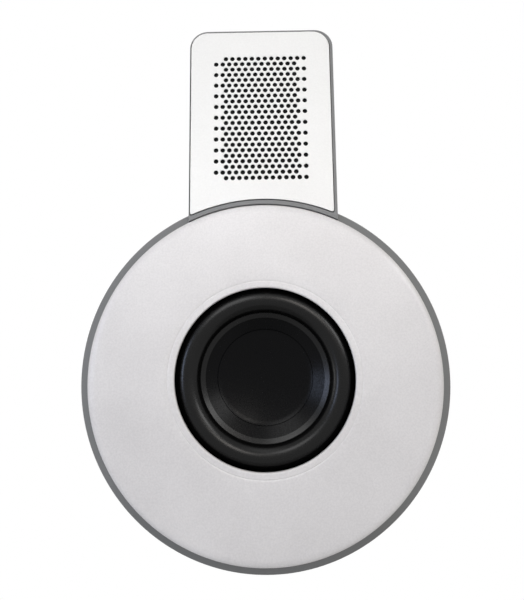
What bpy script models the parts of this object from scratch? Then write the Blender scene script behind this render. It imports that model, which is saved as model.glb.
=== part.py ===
"""Wall-mounted two-way shower speaker, modelled as an assembly of separate pieces.

A grey moulded housing joins a round woofer body and a tab that holds the tweeter. A light
face disc covers the round front, a perforated plate covers the tab, and a screwed back
cover closes the case against the wall.

World frame: +Z up, the front faces -Y, the wall is the plane y = 0, and the origin is the
middle of the back cover, on the woofer's axis. Pieces are placed in the front view's own
frame: x to the right, "up" upwards, and "depth" back from the face plane.
"""

import math

import bmesh
import bpy
from mathutils import Matrix

# ---------------------------------------------------------------- driving sizes, in metres

CLEARANCE = 0.0003  # gap that neighbouring pieces keep

# Case
BODY_DEPTH = 0.0520  # wall to face plane
RIM_WIDTH = 0.0057  # of the housing, round the face disc
TAB_WIDTH = 0.0773
TAB_RISE = 0.0923  # above the round body
TAB_CORNER_RADIUS = 0.0098
TAB_FRONT_DEPTH = 0.0026
TAB_FRONT_WALL = 0.0028
TAB_EDGE_ROUND = 0.0008
CASE_WALL = 0.0030
SKIRT_WALL = 0.0015  # case wall round the back cover
SHOULDER_INNER_DEPTH = 0.0026
SHOULDER_OUTER_DEPTH = 0.0074
SHOULDER_ROUND = 0.0007
BAFFLE_DEPTH = 0.0070
BAFFLE_THICKNESS = 0.0030

# Face disc
DISC_RADIUS = 0.0880
DISC_OPENING_RADIUS = 0.0451
DISC_SKIN = 0.0018
DISC_EDGE_ROUND = 0.0026
DISC_SKIRT_WALL = 0.0020
DISC_LIP_WIDTH = 0.0025
DISC_LIP_STEP = 0.0006
PEG_COUNT = 4
PEG_RADIUS = 0.0020
GROMMET_WALL = 0.0018
GROMMET_FLANGE = 0.0015

# Tab cover and its perforation
COVER_SIDE_MARGIN = 0.00125
COVER_THICKNESS = 0.0012
COVER_TOP_MARGIN = 0.0012  # from the housing's top edge
COVER_CORNER_RADIUS = 0.0090
COVER_OFFSET = -0.00075  # the plate lies a little to the left on its tape
COVER_ARC_GAP = 0.0034  # between the face disc and the plate's hollow lower edge
HOLE_DIAMETER = 0.0020
HOLE_PITCH = 0.0035
HOLE_ROW_SHIFT = 1.5  # in pitches, from one row to the next
HOLE_TOP_MARGIN = 0.0153
HOLE_BOTTOM_MARGIN = 0.0110
HOLE_SIDE_MARGIN = 0.0135
HOLE_SIDES = 6
TAPE_THICKNESS = 0.0005
TAPE_INSET = 0.0015
TAPE_WIDTH = 0.0080
TAPE_WINDOW_CORNER = 0.0010
CLOTH_THICKNESS = 0.0004

# Back cover
BACK_THICKNESS = 0.0035
BACK_SEAL_THICKNESS = 0.0009
BACK_SCREW_ANGLES = (-90, -18, 52, 128, 198)
BACK_BOSS_RADIUS = 0.0035
KEYHOLE_SPAN = 0.1040
KEYHOLE_UP = 0.0260
KEYHOLE_ENTRY_RADIUS = 0.0046
KEYHOLE_SLOT_WIDTH = 0.0046
KEYHOLE_TRAVEL = 0.0090
KEYHOLE_CUP_DEPTH = 0.0065
KEYHOLE_CUP_WALL = 0.0016
CABLE_CUP_INSET = 0.0287  # its middle, from the inside of the case wall
CABLE_CUP_RADIUS = 0.0150
CABLE_CUP_DEPTH = 0.0200
CABLE_CUP_WALL = 0.0020
BOARD_POST_RADIUS = 0.0028

# Cable gland and vent
GLAND_THREAD_RADIUS = 0.0060
GLAND_BORE_RADIUS = 0.0045
GLAND_HEX_RADIUS = 0.0092
GLAND_FLANGE_THICKNESS = 0.0035
GLAND_NUT_LENGTH = 0.0070
GLAND_LOCKNUT_THICKNESS = 0.0035
VENT_X = 0.0340
VENT_STEM_RADIUS = 0.0038
VENT_FLANGE_RADIUS = 0.0062
VENT_FLANGE_THICKNESS = 0.0010

# Woofer
BASKET_FLANGE_WIDTH = 0.0070
BASKET_CUP_MARGIN = 0.0074  # outside the roll
BASKET_CUP_STEP = 0.0026  # from the baffle back to the rubber's ledge
BASKET_SHEET = 0.0016
BASKET_WINDOWS = 6
BASKET_WINDOW_SHARE = 0.58  # of the sloping wall's length
BASKET_LEG_WIDTH = 0.0224
WOOFER_GASKET_THICKNESS = 0.0006
ROLL_MARGIN = 0.0005  # the roll starts this far under the face disc
ROLL_WIDTH = 0.0124
ROLL_HEIGHT = 0.0056
ROLL_OVERHANG = 0.0006  # past the basket's ledge
RUBBER_THICKNESS = 0.0008
RUBBER_LIP_WIDTH = 0.0026
CONE_LAP = 0.0013  # of the cone behind the roll's inner foot
CONE_SLOPE = 0.4545  # depth per radius
CONE_SHEET = 0.0007
DUST_CAP_RADIUS = 0.0246
DUST_CAP_DISH = 0.0034
DUST_CAP_RIM = 0.0014
COIL_RADIUS = 0.0130
COIL_FORMER_WALL = 0.0004
COIL_WINDING_LENGTH = 0.0065
COIL_WINDING_THICKNESS = 0.0007
SPIDER_OUTER_RADIUS = 0.0322
SPIDER_SETBACK = 0.0047  # of its landing, behind the cone's neck
SPIDER_ROOM = 0.0057  # from its landing to the basket's rear
SPIDER_LEDGE_WIDTH = 0.0048
SPIDER_RIM_WIDTH = 0.0034
SPIDER_CUP = 0.0032  # the neck stands this far in front of the landing
SPIDER_THICKNESS = 0.0005
SPIDER_WAVES = 3
SPIDER_WAVE_HEIGHT = 0.0009
TOP_PLATE_RADIUS = 0.0310
TOP_PLATE_THICKNESS = 0.0040
MAGNET_RADIUS = 0.0330
MAGNET_BORE_RADIUS = 0.0180
YOKE_RADIUS = 0.0300
YOKE_THICKNESS = 0.0037
POLE_RADIUS = 0.0122
AIR_GAP_RADIUS = 0.0146
DRIVER_BACK_GAP = 0.0015  # from the yoke to the back cover

# Tweeter
WINDOW_INSET = 0.00065  # inside the outermost holes' middles
WINDOW_CORNER_RADIUS = 0.0040
CARRIER_LAP = 0.0050  # of the carrier behind the window's edge
CARRIER_THICKNESS = 0.0028
CARRIER_CORNER_RADIUS = 0.0050
CARRIER_MOUTH_INSET = 0.0025
CARRIER_THROAT_MARGIN = 0.0014
TWEETER_SCREW_INSET = 0.0032
DOME_RADIUS = 0.0126
DOME_HEIGHT = 0.0042
DOME_SHEET = 0.0004
TWEETER_RING_RADIUS = 0.0170
TWEETER_PLATE_RADIUS = 0.0200
TWEETER_PLATE_THICKNESS = 0.0025
TWEETER_MAGNET_RADIUS = 0.0190
TWEETER_MAGNET_BORE_RADIUS = 0.0148
TWEETER_MAGNET_LENGTH = 0.0060
TWEETER_YOKE_THICKNESS = 0.0030
TWEETER_COIL_WALL = 0.0005
TWEETER_COIL_LENGTH = 0.0042

# Crossover
BOARD_WIDTH = 0.0560
BOARD_HEIGHT = 0.0600
BOARD_THICKNESS = 0.0016
BOARD_STANDOFF = 0.0056  # from the back cover
BOARD_SCREW_SPAN_X = 0.0460
BOARD_SCREW_SPAN_UP = 0.0500
CAPACITOR_RADIUS = 0.0060
CAPACITOR_LENGTH = 0.0260
INDUCTOR_RADIUS = 0.0110
INDUCTOR_HEIGHT = 0.0100
RESISTOR_LENGTH = 0.0220
RESISTOR_SIDE = 0.0090
BLOCK_LENGTH = 0.0200
BLOCK_SIDE = 0.0090
LEAD_RADIUS = 0.0011
LEAD_STRAIGHT = 0.0025  # straight length where a lead meets a terminal
LEAD_HOLE_RADIUS = 0.0045
LEAD_HOLE_X = 0.0150
LEAD_HOLE_SETBACK = 0.0185  # in front of the back cover
TERMINAL_WIDTH = 0.0140
TERMINAL_HEIGHT = 0.0045
TERMINAL_LENGTH = 0.0050

# Screws: head radius, head height, shank radius
CASE_SCREW = (0.0029, 0.0016, 0.0012)
DRIVER_SCREW = (0.0029, 0.0012, 0.0014)
SMALL_SCREW = (0.0021, 0.0012, 0.0010)
SCREW_HOLE_CLEARANCE = 0.0004
CASE_SCREW_LENGTH = 0.0120
DRIVER_SCREW_LENGTH = 0.0100
SMALL_SCREW_LENGTH = 0.0045

# Facets round a full turn
CASE_SIDES = 44
DRIVER_SIDES = 36
MOTOR_SIDES = 24
SMALL_SIDES = 16
BOSS_SIDES = 10
SCREW_SIDES = 6

# ---------------------------------------------------------------- sizes that follow

OVERCUT = 0.0010  # how far a cutter passes the face it opens
BODY_RADIUS = DISC_RADIUS + RIM_WIDTH
TAB_TOP = BODY_RADIUS + TAB_RISE
BAFFLE_REAR = BAFFLE_DEPTH + BAFFLE_THICKNESS
SEAT_RADIUS = DISC_RADIUS + CLEARANCE
BACK_FRONT_DEPTH = BODY_DEPTH - BACK_THICKNESS
LEDGE_DEPTH = BACK_FRONT_DEPTH - BACK_SEAL_THICKNESS - 2 * CLEARANCE
CAVITY_RADIUS = BODY_RADIUS - CASE_WALL
CABLE_CUP_UP = CABLE_CUP_INSET - CAVITY_RADIUS
LEAD_HOLE_DEPTH = BACK_FRONT_DEPTH - LEAD_HOLE_SETBACK
COVER_WIDTH = TAB_WIDTH - 2 * COVER_SIDE_MARGIN
COVER_ARC_RADIUS = DISC_RADIUS + COVER_ARC_GAP
COVER_TOP = TAB_TOP - COVER_TOP_MARGIN
COVER_REAR_DEPTH = COVER_THICKNESS
HOLE_ROW_SPACING = HOLE_PITCH * math.sin(math.radians(60))
HOLE_FIELD_TOP = COVER_TOP - HOLE_TOP_MARGIN
HOLE_ROOM_UP = HOLE_FIELD_TOP - COVER_ARC_RADIUS - HOLE_BOTTOM_MARGIN
HOLE_ROOM_X = COVER_WIDTH - 2 * HOLE_SIDE_MARGIN - HOLE_ROW_SHIFT * HOLE_PITCH
HOLE_ROWS = int(HOLE_ROOM_UP / HOLE_ROW_SPACING) + 1
HOLES_PER_ROW = int(HOLE_ROOM_X / HOLE_PITCH) + 1
HOLE_FIELD_HEIGHT = (HOLE_ROWS - 1) * HOLE_ROW_SPACING
HOLE_FIELD_WIDTH = (HOLES_PER_ROW - 1 + HOLE_ROW_SHIFT) * HOLE_PITCH
TWEETER_UP = HOLE_FIELD_TOP - HOLE_FIELD_HEIGHT / 2
TAB_WALL_REAR = TAB_FRONT_DEPTH + TAB_FRONT_WALL
WINDOW_WIDTH = HOLE_FIELD_WIDTH - 2 * WINDOW_INSET
WINDOW_HEIGHT = HOLE_FIELD_HEIGHT - 2 * WINDOW_INSET
CARRIER_WIDTH = WINDOW_WIDTH + 2 * CARRIER_LAP
CARRIER_HEIGHT = WINDOW_HEIGHT + 2 * CARRIER_LAP
CARRIER_MOUTH_RADIUS = WINDOW_WIDTH / 2 - CARRIER_MOUTH_INSET
CARRIER_THROAT_RADIUS = DOME_RADIUS + CARRIER_THROAT_MARGIN

ROLL_OUTER_RADIUS = DISC_OPENING_RADIUS + ROLL_MARGIN
ROLL_INNER_RADIUS = ROLL_OUTER_RADIUS - ROLL_WIDTH
CONE_OUTER_RADIUS = ROLL_INNER_RADIUS + CONE_LAP
BASKET_CUP_RADIUS = ROLL_OUTER_RADIUS + BASKET_CUP_MARGIN
BASKET_FLANGE_RADIUS = BASKET_CUP_RADIUS + BASKET_FLANGE_WIDTH
BASKET_LEDGE_INNER_RADIUS = ROLL_OUTER_RADIUS - ROLL_OVERHANG
BASKET_LEDGE_DEPTH = BAFFLE_DEPTH + BASKET_CUP_STEP
WOOFER_SCREW_CIRCLE_RADIUS = (BASKET_CUP_RADIUS + BASKET_FLANGE_RADIUS) / 2
PEG_CIRCLE_RADIUS = (BASKET_FLANGE_RADIUS + DISC_RADIUS - DISC_SKIRT_WALL) / 2
CONE_LIP_DEPTH = BASKET_LEDGE_DEPTH + CLEARANCE
CONE_NECK_DEPTH = CONE_LIP_DEPTH + (ROLL_INNER_RADIUS - COIL_RADIUS) * CONE_SLOPE
SPIDER_LANDING_DEPTH = CONE_NECK_DEPTH + SPIDER_SETBACK
BASKET_DEPTH = SPIDER_LANDING_DEPTH + SPIDER_ROOM
BASKET_REAR_RADIUS = SPIDER_OUTER_RADIUS - CLEARANCE
TOP_PLATE_FRONT = BASKET_DEPTH + CLEARANCE
TOP_PLATE_REAR = TOP_PLATE_FRONT + TOP_PLATE_THICKNESS
YOKE_REAR = BACK_FRONT_DEPTH - DRIVER_BACK_GAP
YOKE_FRONT = YOKE_REAR - YOKE_THICKNESS
COIL_REAR = (TOP_PLATE_FRONT + TOP_PLATE_REAR + COIL_WINDING_LENGTH) / 2

PARTS = bpy.data.collections.new("shower_speaker")
CUTTERS = bpy.data.collections.new("cutters")
FRONT = bpy.data.objects.new("front_view", None)
WOOFER_TRAVEL = bpy.data.objects.new("woofer_travel", None)
TWEETER_TRAVEL = bpy.data.objects.new("tweeter_travel", None)


# ---------------------------------------------------------------- scene and materials


def clear_scene():
    for old in list(bpy.data.objects):
        if old not in (FRONT, WOOFER_TRAVEL, TWEETER_TRAVEL):
            bpy.data.objects.remove(old)
    for group in (PARTS, CUTTERS):
        bpy.context.scene.collection.children.link(group)
    FRONT.location = (0, -BODY_DEPTH, 0)
    FRONT.rotation_euler = (math.radians(90), 0, 0)
    for empty in (FRONT, WOOFER_TRAVEL, TWEETER_TRAVEL):
        PARTS.objects.link(empty)
    for travel in (WOOFER_TRAVEL, TWEETER_TRAVEL):
        travel.parent = FRONT
    TWEETER_TRAVEL.location = (0, TWEETER_UP, 0)


def material(name, colour, roughness, metallic=0.0):
    made = bpy.data.materials.new(name)
    made.use_nodes = True
    shader = made.node_tree.nodes["Principled BSDF"]
    shader.inputs["Base Color"].default_value = (*colour, 1)
    shader.inputs["Roughness"].default_value = roughness
    shader.inputs["Metallic"].default_value = metallic
    made.diffuse_color = (*colour, 1)
    return made


GREY_HOUSING = material("grey_housing_plastic", (0.28, 0.28, 0.28), 0.45)
FACE_LACQUER = material("pale_face_lacquer", (0.72, 0.71, 0.72), 0.35)
COVER_LACQUER = material("white_cover_lacquer", (0.89, 0.89, 0.88), 0.4)
BLACK_RUBBER = material("black_rubber", (0.012, 0.012, 0.013), 0.5)
BLACK_CONE = material("black_cone_polypropylene", (0.01, 0.011, 0.014), 0.35)
BLACK_PLASTIC = material("black_plastic", (0.02, 0.02, 0.022), 0.5)
BLACK_CLOTH = material("black_acoustic_cloth", (0.008, 0.008, 0.008), 0.9)
BLACK_FOAM = material("black_foam", (0.03, 0.03, 0.03), 0.95)
GREY_SEAL = material("grey_sealing_rubber", (0.12, 0.12, 0.13), 0.7)
STEEL = material("zinc_plated_steel", (0.55, 0.56, 0.58), 0.35, 1.0)
STAINLESS = material("stainless_steel", (0.6, 0.6, 0.6), 0.3, 1.0)
FERRITE = material("ferrite", (0.05, 0.05, 0.055), 0.6)
COPPER = material("enamelled_copper", (0.55, 0.2, 0.08), 0.35, 1.0)
FORMER_FOIL = material("coil_former_foil", (0.35, 0.2, 0.08), 0.5)
SPIDER_CLOTH = material("spider_cloth", (0.5, 0.32, 0.12), 0.8)
SILK = material("coated_silk", (0.02, 0.02, 0.025), 0.6)
CIRCUIT_BOARD = material("green_circuit_board", (0.02, 0.14, 0.06), 0.5)
FILM_YELLOW = material("yellow_film_capacitor", (0.7, 0.45, 0.03), 0.4)
CERAMIC_WHITE = material("white_ceramic", (0.75, 0.74, 0.7), 0.6)
TERMINAL_GREEN = material("green_terminal_plastic", (0.03, 0.25, 0.1), 0.5)
LEAD_RED = material("red_lead_sheath", (0.35, 0.02, 0.02), 0.5)


# ---------------------------------------------------------------- modelling helpers


def place(thing, depth=0.0, x=0.0, up=0.0, parent=FRONT):
    thing.parent = parent
    thing.location = (x, up, -depth)
    return thing


def add_object(name, mesh, finish=None):
    made = bpy.data.objects.new(name, mesh)
    if finish is None:
        CUTTERS.objects.link(made)
        made.hide_render = True
        made.display_type = "WIRE"
    else:
        PARTS.objects.link(made)
        mesh.materials.append(finish)
    return made


def from_bmesh(name, shape, finish=None):
    mesh = bpy.data.meshes.new(name)
    shape.to_mesh(mesh)
    shape.free()
    return place(add_object(name, mesh, finish))


def turned(name, profile, sides, finish=None, ring=True):
    """Turns (radius, depth) points about the front axis. A ring's profile is a closed loop,
    and a solid's runs from the axis in front, round its outside, to the axis behind."""
    points = list(profile)
    if ring:
        area = sum(
            a[0] * b[1] - b[0] * a[1] for a, b in zip(points, points[1:] + points[:1])
        )
        if area < 0:
            points.reverse()
    mesh = bpy.data.meshes.new(name)
    last = len(points) - 1
    edges = [(i, i + 1) for i in range(last)] + ([(last, 0)] if ring else [])
    mesh.from_pydata([(r, 0, -depth) for r, depth in points], edges, [])
    made = place(add_object(name, mesh, finish))
    screw = made.modifiers.new("turn", "SCREW")
    screw.steps = sides
    screw.render_steps = sides
    screw.use_merge_vertices = True
    screw.merge_threshold = 0.00001
    return made


def arc(centre_x, centre_up, radius, start, end, steps):
    """Points on an arc from start to end, in radians, both ends included."""
    angles = [start + (end - start) * i / steps for i in range(steps + 1)]
    return [
        (centre_x + radius * math.cos(a), centre_up + radius * math.sin(a))
        for a in angles
    ]


def slab(name, loops, front, back, finish=None):
    """A flat piece between two depths, with its outline and holes as loops of (x, up)."""
    curve = bpy.data.curves.new(name, "CURVE")
    curve.dimensions = "2D"
    curve.fill_mode = "BOTH"
    curve.extrude = (back - front) / 2
    for loop in loops:
        spline = curve.splines.new("POLY")
        spline.points.add(len(loop) - 1)
        for point, (x, up) in zip(spline.points, loop):
            point.co = (x, up, 0, 1)
        spline.use_cyclic_u = True
    outline = bpy.data.objects.new(name + "_outline", curve)
    CUTTERS.objects.link(outline)
    outline.location = (0, 0, -(front + back) / 2)
    return solid_from_curve(name, outline, finish)


def solid_from_curve(name, outline, finish):
    """The curve's mesh as a new object in its place, with the loose caps welded."""
    bpy.context.view_layer.update()
    shaped = outline.evaluated_get(bpy.context.evaluated_depsgraph_get())
    mesh = bpy.data.meshes.new_from_object(shaped)
    shape = bmesh.new()
    shape.from_mesh(mesh)
    bmesh.ops.remove_doubles(shape, verts=shape.verts, dist=0.000001)
    shape.to_mesh(mesh)
    shape.free()
    made = add_object(name, mesh, finish)
    made.matrix_world = outline.matrix_world.copy()
    made.parent = FRONT
    bpy.data.objects.remove(outline)
    return made


def cylinders(name, centres, radius, front, back, sides, finish=None):
    """Equal round bars along the depth, at each (x, up)."""
    shape = bmesh.new()
    for x, up in centres:
        bmesh.ops.create_cone(
            shape,
            cap_ends=True,
            segments=sides,
            radius1=radius,
            radius2=radius,
            depth=back - front,
            matrix=Matrix.Translation((x, up, -(front + back) / 2)),
        )
    return from_bmesh(name, shape, finish)


def box(name, low, high, finish=None):
    """A block between two corners, each (x, up, depth)."""
    shape = bmesh.new()
    bmesh.ops.create_cube(shape, size=1)
    size = [b - a for a, b in zip(low, high)]
    middle = [(a + b) / 2 for a, b in zip(low, high)]
    bmesh.ops.scale(shape, vec=size, verts=shape.verts)
    bmesh.ops.translate(
        shape, vec=(middle[0], middle[1], -middle[2]), verts=shape.verts
    )
    return from_bmesh(name, shape, finish)


def combine(target, operation, *tools):
    for tool in tools:
        boolean = target.modifiers.new(tool.name, "BOOLEAN")
        boolean.operation = operation
        boolean.solver = "EXACT"
        boolean.object = tool
    return target


def cut(target, *tools):
    return combine(target, "DIFFERENCE", *tools)


def join(target, *tools):
    return combine(target, "UNION", *tools)


def rounded_rectangle(width, height, radius, x=0.0, up=0.0, steps=4):
    points = []
    for i, (sx, sy) in enumerate(((1, 1), (-1, 1), (-1, -1), (1, -1))):
        corner_x = x + sx * (width / 2 - radius)
        corner_up = up + sy * (height / 2 - radius)
        start = i * math.pi / 2
        points += arc(corner_x, corner_up, radius, start, start + math.pi / 2, steps)
    return points


def hexagon(radius, x=0.0, up=0.0):
    return arc(x, up, radius, 0, 2 * math.pi * 5 / 6, 5)


def spread(span_x, span_up, up):
    """The four corners of a screw pattern centred on the tab."""
    return [(sx * span_x / 2, up + su * span_up / 2) for sx in (-1, 1) for su in (-1, 1)]


def on_circle(radius, angles):
    return [
        (radius * math.cos(math.radians(a)), radius * math.sin(math.radians(a)))
        for a in angles
    ]


# ---------------------------------------------------------------- outlines


def case_outline(inset):
    """Outline of the round body and the tab together, moved inwards by inset."""
    radius = BODY_RADIUS - inset
    half = TAB_WIDTH / 2 - inset
    corner = TAB_CORNER_RADIUS - inset
    joint = math.acos(half / radius)
    points = arc(0, 0, radius, math.pi - joint, 2 * math.pi + joint, CASE_SIDES - 8)
    points += tab_corners(half, TAB_TOP - inset, corner, 0)
    return points


def tab_corners(half, top, corner, x):
    right = arc(x + half - corner, top - corner, corner, 0, math.pi / 2, 5)
    left = arc(x - half + corner, top - corner, corner, math.pi / 2, math.pi, 5)
    return right + left


def tab_outline(half, top, corner, arc_radius, x=0.0, steps=10):
    """Outline of the tab, whose lower edge is hollow and runs round the woofer's axis."""
    left = math.acos((x - half) / arc_radius)
    right = math.acos((x + half) / arc_radius)
    return arc(0, 0, arc_radius, left, right, steps) + tab_corners(half, top, corner, x)


def cover_outline(inset):
    return tab_outline(
        COVER_WIDTH / 2 - inset,
        COVER_TOP - inset,
        max(COVER_CORNER_RADIUS - inset, TAPE_WINDOW_CORNER),
        COVER_ARC_RADIUS + inset,
        COVER_OFFSET,
    )


def hole_centres():
    """Staggered rows at 60 degrees; every second row is shifted to the left."""
    centres = []
    first_x = COVER_OFFSET - (HOLES_PER_ROW - 1) * HOLE_PITCH / 2
    for row in range(HOLE_ROWS):
        side = 0.5 if row % 2 == 0 else -0.5
        start_x = first_x + side * HOLE_ROW_SHIFT * HOLE_PITCH
        up = HOLE_FIELD_TOP - row * HOLE_ROW_SPACING
        centres += [(start_x + i * HOLE_PITCH, up) for i in range(HOLES_PER_ROW)]
    return centres


def back_boss_centres():
    """Screw bosses that grow out of the case wall: five round the body, two in the tab."""
    reach = CAVITY_RADIUS - BACK_BOSS_RADIUS + CLEARANCE
    corner_radius = TAB_CORNER_RADIUS - CASE_WALL - BACK_BOSS_RADIUS + CLEARANCE
    corner_x = TAB_WIDTH / 2 - TAB_CORNER_RADIUS + corner_radius * math.sqrt(0.5)
    corner_up = TAB_TOP - TAB_CORNER_RADIUS + corner_radius * math.sqrt(0.5)
    tab = [(-corner_x, corner_up), (corner_x, corner_up)]
    return on_circle(reach, BACK_SCREW_ANGLES) + tab


def woofer_screw_centres():
    return on_circle(WOOFER_SCREW_CIRCLE_RADIUS, (45, 135, 225, 315))


def peg_centres():
    step = 360 / PEG_COUNT
    return on_circle(PEG_CIRCLE_RADIUS, [90 + i * step for i in range(PEG_COUNT)])


def tweeter_screw_centres():
    span_x = CARRIER_WIDTH - 2 * TWEETER_SCREW_INSET
    span_up = CARRIER_HEIGHT - 2 * TWEETER_SCREW_INSET
    return spread(span_x, span_up, TWEETER_UP)


def board_post_centres():
    return spread(BOARD_SCREW_SPAN_X, BOARD_SCREW_SPAN_UP, TWEETER_UP)


def board_screw_centres():
    """Two of the four posts take a screw: lower left and upper right."""
    posts = board_post_centres()
    return [posts[0], posts[3]]


# ---------------------------------------------------------------- case


def make_housing():
    wall_top = BODY_RADIUS - SHOULDER_ROUND
    housing = turned(
        "housing",
        [
            (0, BAFFLE_DEPTH),
            (SEAT_RADIUS, BAFFLE_DEPTH),
            (SEAT_RADIUS, SHOULDER_INNER_DEPTH),
            (wall_top, SHOULDER_OUTER_DEPTH - SHOULDER_ROUND),
            (BODY_RADIUS, SHOULDER_OUTER_DEPTH + SHOULDER_ROUND),
            (BODY_RADIUS, BODY_DEPTH),
            (0, BODY_DEPTH),
        ],
        CASE_SIDES,
        GREY_HOUSING,
        ring=False,
    )
    join(housing, make_tab_block())
    tab_cavity = slab(
        "tab_cavity",
        [
            tab_outline(
                TAB_WIDTH / 2 - CASE_WALL,
                TAB_TOP - CASE_WALL,
                TAB_CORNER_RADIUS - CASE_WALL,
                BODY_RADIUS,
            )
        ],
        TAB_WALL_REAR,
        BODY_DEPTH + OVERCUT,
    )
    body_cavity = cylinders(
        "body_cavity",
        [(0, 0)],
        CAVITY_RADIUS,
        BAFFLE_REAR,
        BODY_DEPTH + OVERCUT,
        DRIVER_SIDES,
    )
    cut(housing, tab_cavity, body_cavity)
    centres = back_boss_centres()
    bosses = cylinders(
        "body_bosses",
        centres[:-2],
        BACK_BOSS_RADIUS,
        BAFFLE_REAR - OVERCUT,
        BODY_DEPTH - OVERCUT,
        BOSS_SIDES,
    )
    tab_bosses = cylinders(
        "tab_bosses",
        centres[-2:],
        BACK_BOSS_RADIUS,
        TAB_WALL_REAR - OVERCUT,
        BODY_DEPTH - OVERCUT,
        BOSS_SIDES,
    )
    join(housing, bosses, tab_bosses)
    cover_pocket = slab(
        "cover_pocket", [case_outline(SKIRT_WALL)], LEDGE_DEPTH, BODY_DEPTH + OVERCUT
    )
    cut(housing, cover_pocket, *housing_holes())
    return housing


def make_tab_block():
    """The tab as a solid block with its long front edge rounded."""
    block = slab(
        "tab_block",
        [tab_outline(TAB_WIDTH / 2, TAB_TOP, TAB_CORNER_RADIUS, COVER_ARC_RADIUS)],
        TAB_FRONT_DEPTH,
        BODY_DEPTH,
    )
    shape = bmesh.new()
    shape.from_mesh(block.data)
    arc_limit = COVER_ARC_RADIUS + CLEARANCE
    front_edges = [
        edge
        for edge in shape.edges
        if len(edge.link_faces) == 2
        and all(v.co.z > OVERCUT for v in edge.verts)
        and edge.calc_face_angle() > 1
        and any(math.hypot(v.co.x, v.co.y) > arc_limit for v in edge.verts)
    ]
    bmesh.ops.bevel(
        shape,
        geom=front_edges,
        offset=TAB_EDGE_ROUND,
        segments=2,
        profile=0.5,
        affect="EDGES",
    )
    shape.to_mesh(block.data)
    shape.free()
    return block


def housing_holes():
    """Cutters for everything that passes through the housing's walls."""
    woofer_hole = cylinders(
        "woofer_hole",
        [(0, 0)],
        BASKET_CUP_RADIUS + CLEARANCE,
        BAFFLE_DEPTH - OVERCUT,
        BAFFLE_REAR + OVERCUT,
        DRIVER_SIDES,
    )
    window = slab(
        "tweeter_window",
        [
            rounded_rectangle(
                WINDOW_WIDTH, WINDOW_HEIGHT, WINDOW_CORNER_RADIUS, 0, TWEETER_UP
            )
        ],
        TAB_FRONT_DEPTH - OVERCUT,
        TAB_WALL_REAR + OVERCUT,
    )
    grommet_holes = cylinders(
        "grommet_holes",
        peg_centres(),
        PEG_RADIUS + CLEARANCE + GROMMET_WALL + CLEARANCE,
        BAFFLE_DEPTH - OVERCUT,
        BAFFLE_REAR + OVERCUT,
        12,
    )
    driver_pilots = cylinders(
        "driver_pilots",
        woofer_screw_centres(),
        DRIVER_SCREW[2] + SCREW_HOLE_CLEARANCE,
        BAFFLE_DEPTH - OVERCUT,
        BAFFLE_REAR + OVERCUT,
        SCREW_SIDES,
    )
    back_pilots = cylinders(
        "back_pilots",
        back_boss_centres(),
        CASE_SCREW[2] + SCREW_HOLE_CLEARANCE,
        BODY_DEPTH - CASE_SCREW_LENGTH - 3 * OVERCUT,
        BODY_DEPTH,
        SCREW_SIDES,
    )
    tweeter_pilots = cylinders(
        "tweeter_pilots",
        tweeter_screw_centres(),
        SMALL_SCREW[2] + SCREW_HOLE_CLEARANCE,
        TAB_FRONT_DEPTH + TAB_FRONT_WALL / 3,
        TAB_WALL_REAR + OVERCUT,
        SCREW_SIDES,
    )
    lead_hole = cylinders(
        "lead_hole", [(0, 0)], LEAD_HOLE_RADIUS, -CASE_WALL * 2, CASE_WALL * 2, 12
    )
    lead_hole.rotation_euler = (math.radians(90), 0, 0)
    place(lead_hole, LEAD_HOLE_DEPTH, LEAD_HOLE_X, BODY_RADIUS - CASE_WALL)
    return (
        woofer_hole,
        window,
        grommet_holes,
        driver_pilots,
        back_pilots,
        tweeter_pilots,
        lead_hole,
    )


def make_front_disc():
    """Thin face with a rolled outer edge, a skirt, and a shallow step round the opening."""
    round_centre = DISC_RADIUS - DISC_EDGE_ROUND
    rolled = [
        (
            round_centre + DISC_EDGE_ROUND * math.sin(math.radians(a)),
            DISC_EDGE_ROUND * (1 - math.cos(math.radians(a))),
        )
        for a in (0, 30, 60, 90)
    ]
    skirt_end = BAFFLE_DEPTH - CLEARANCE
    skirt_inner = DISC_RADIUS - DISC_SKIRT_WALL
    lip_outer = DISC_OPENING_RADIUS + DISC_LIP_WIDTH
    lip_rear = DISC_SKIN + DISC_LIP_STEP
    disc = turned(
        "front_disc",
        [
            (DISC_OPENING_RADIUS, DISC_LIP_STEP),
            (lip_outer - DISC_LIP_STEP, DISC_LIP_STEP),
            (lip_outer, 0),
            *rolled,
            (DISC_RADIUS, skirt_end),
            (skirt_inner, skirt_end),
            (skirt_inner, DISC_SKIN),
            (lip_outer + DISC_LIP_STEP, DISC_SKIN),
            (lip_outer, lip_rear),
            (DISC_OPENING_RADIUS, lip_rear),
        ],
        CASE_SIDES,
        FACE_LACQUER,
    )
    pegs = cylinders(
        "disc_pegs",
        peg_centres(),
        PEG_RADIUS,
        DISC_SKIN / 2,
        BAFFLE_REAR + OVERCUT,
        SCREW_SIDES,
    )
    return join(disc, pegs)


def make_grommets():
    """Rubber sleeves in the baffle that grip the face disc's pegs."""
    bore = PEG_RADIUS + CLEARANCE
    neck = bore + GROMMET_WALL
    brim = neck + GROMMET_FLANGE
    brim_front = BAFFLE_DEPTH - CLEARANCE - 0.0008
    for i, (x, up) in enumerate(peg_centres(), start=1):
        grommet = turned(
            f"disc_grommet_{i}",
            [
                (bore, brim_front),
                (brim, brim_front),
                (brim, BAFFLE_DEPTH - CLEARANCE),
                (neck, BAFFLE_DEPTH - CLEARANCE),
                (neck, BAFFLE_REAR),
                (bore, BAFFLE_REAR),
            ],
            10,
            BLACK_RUBBER,
        )
        place(grommet, 0, x, up)


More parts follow.
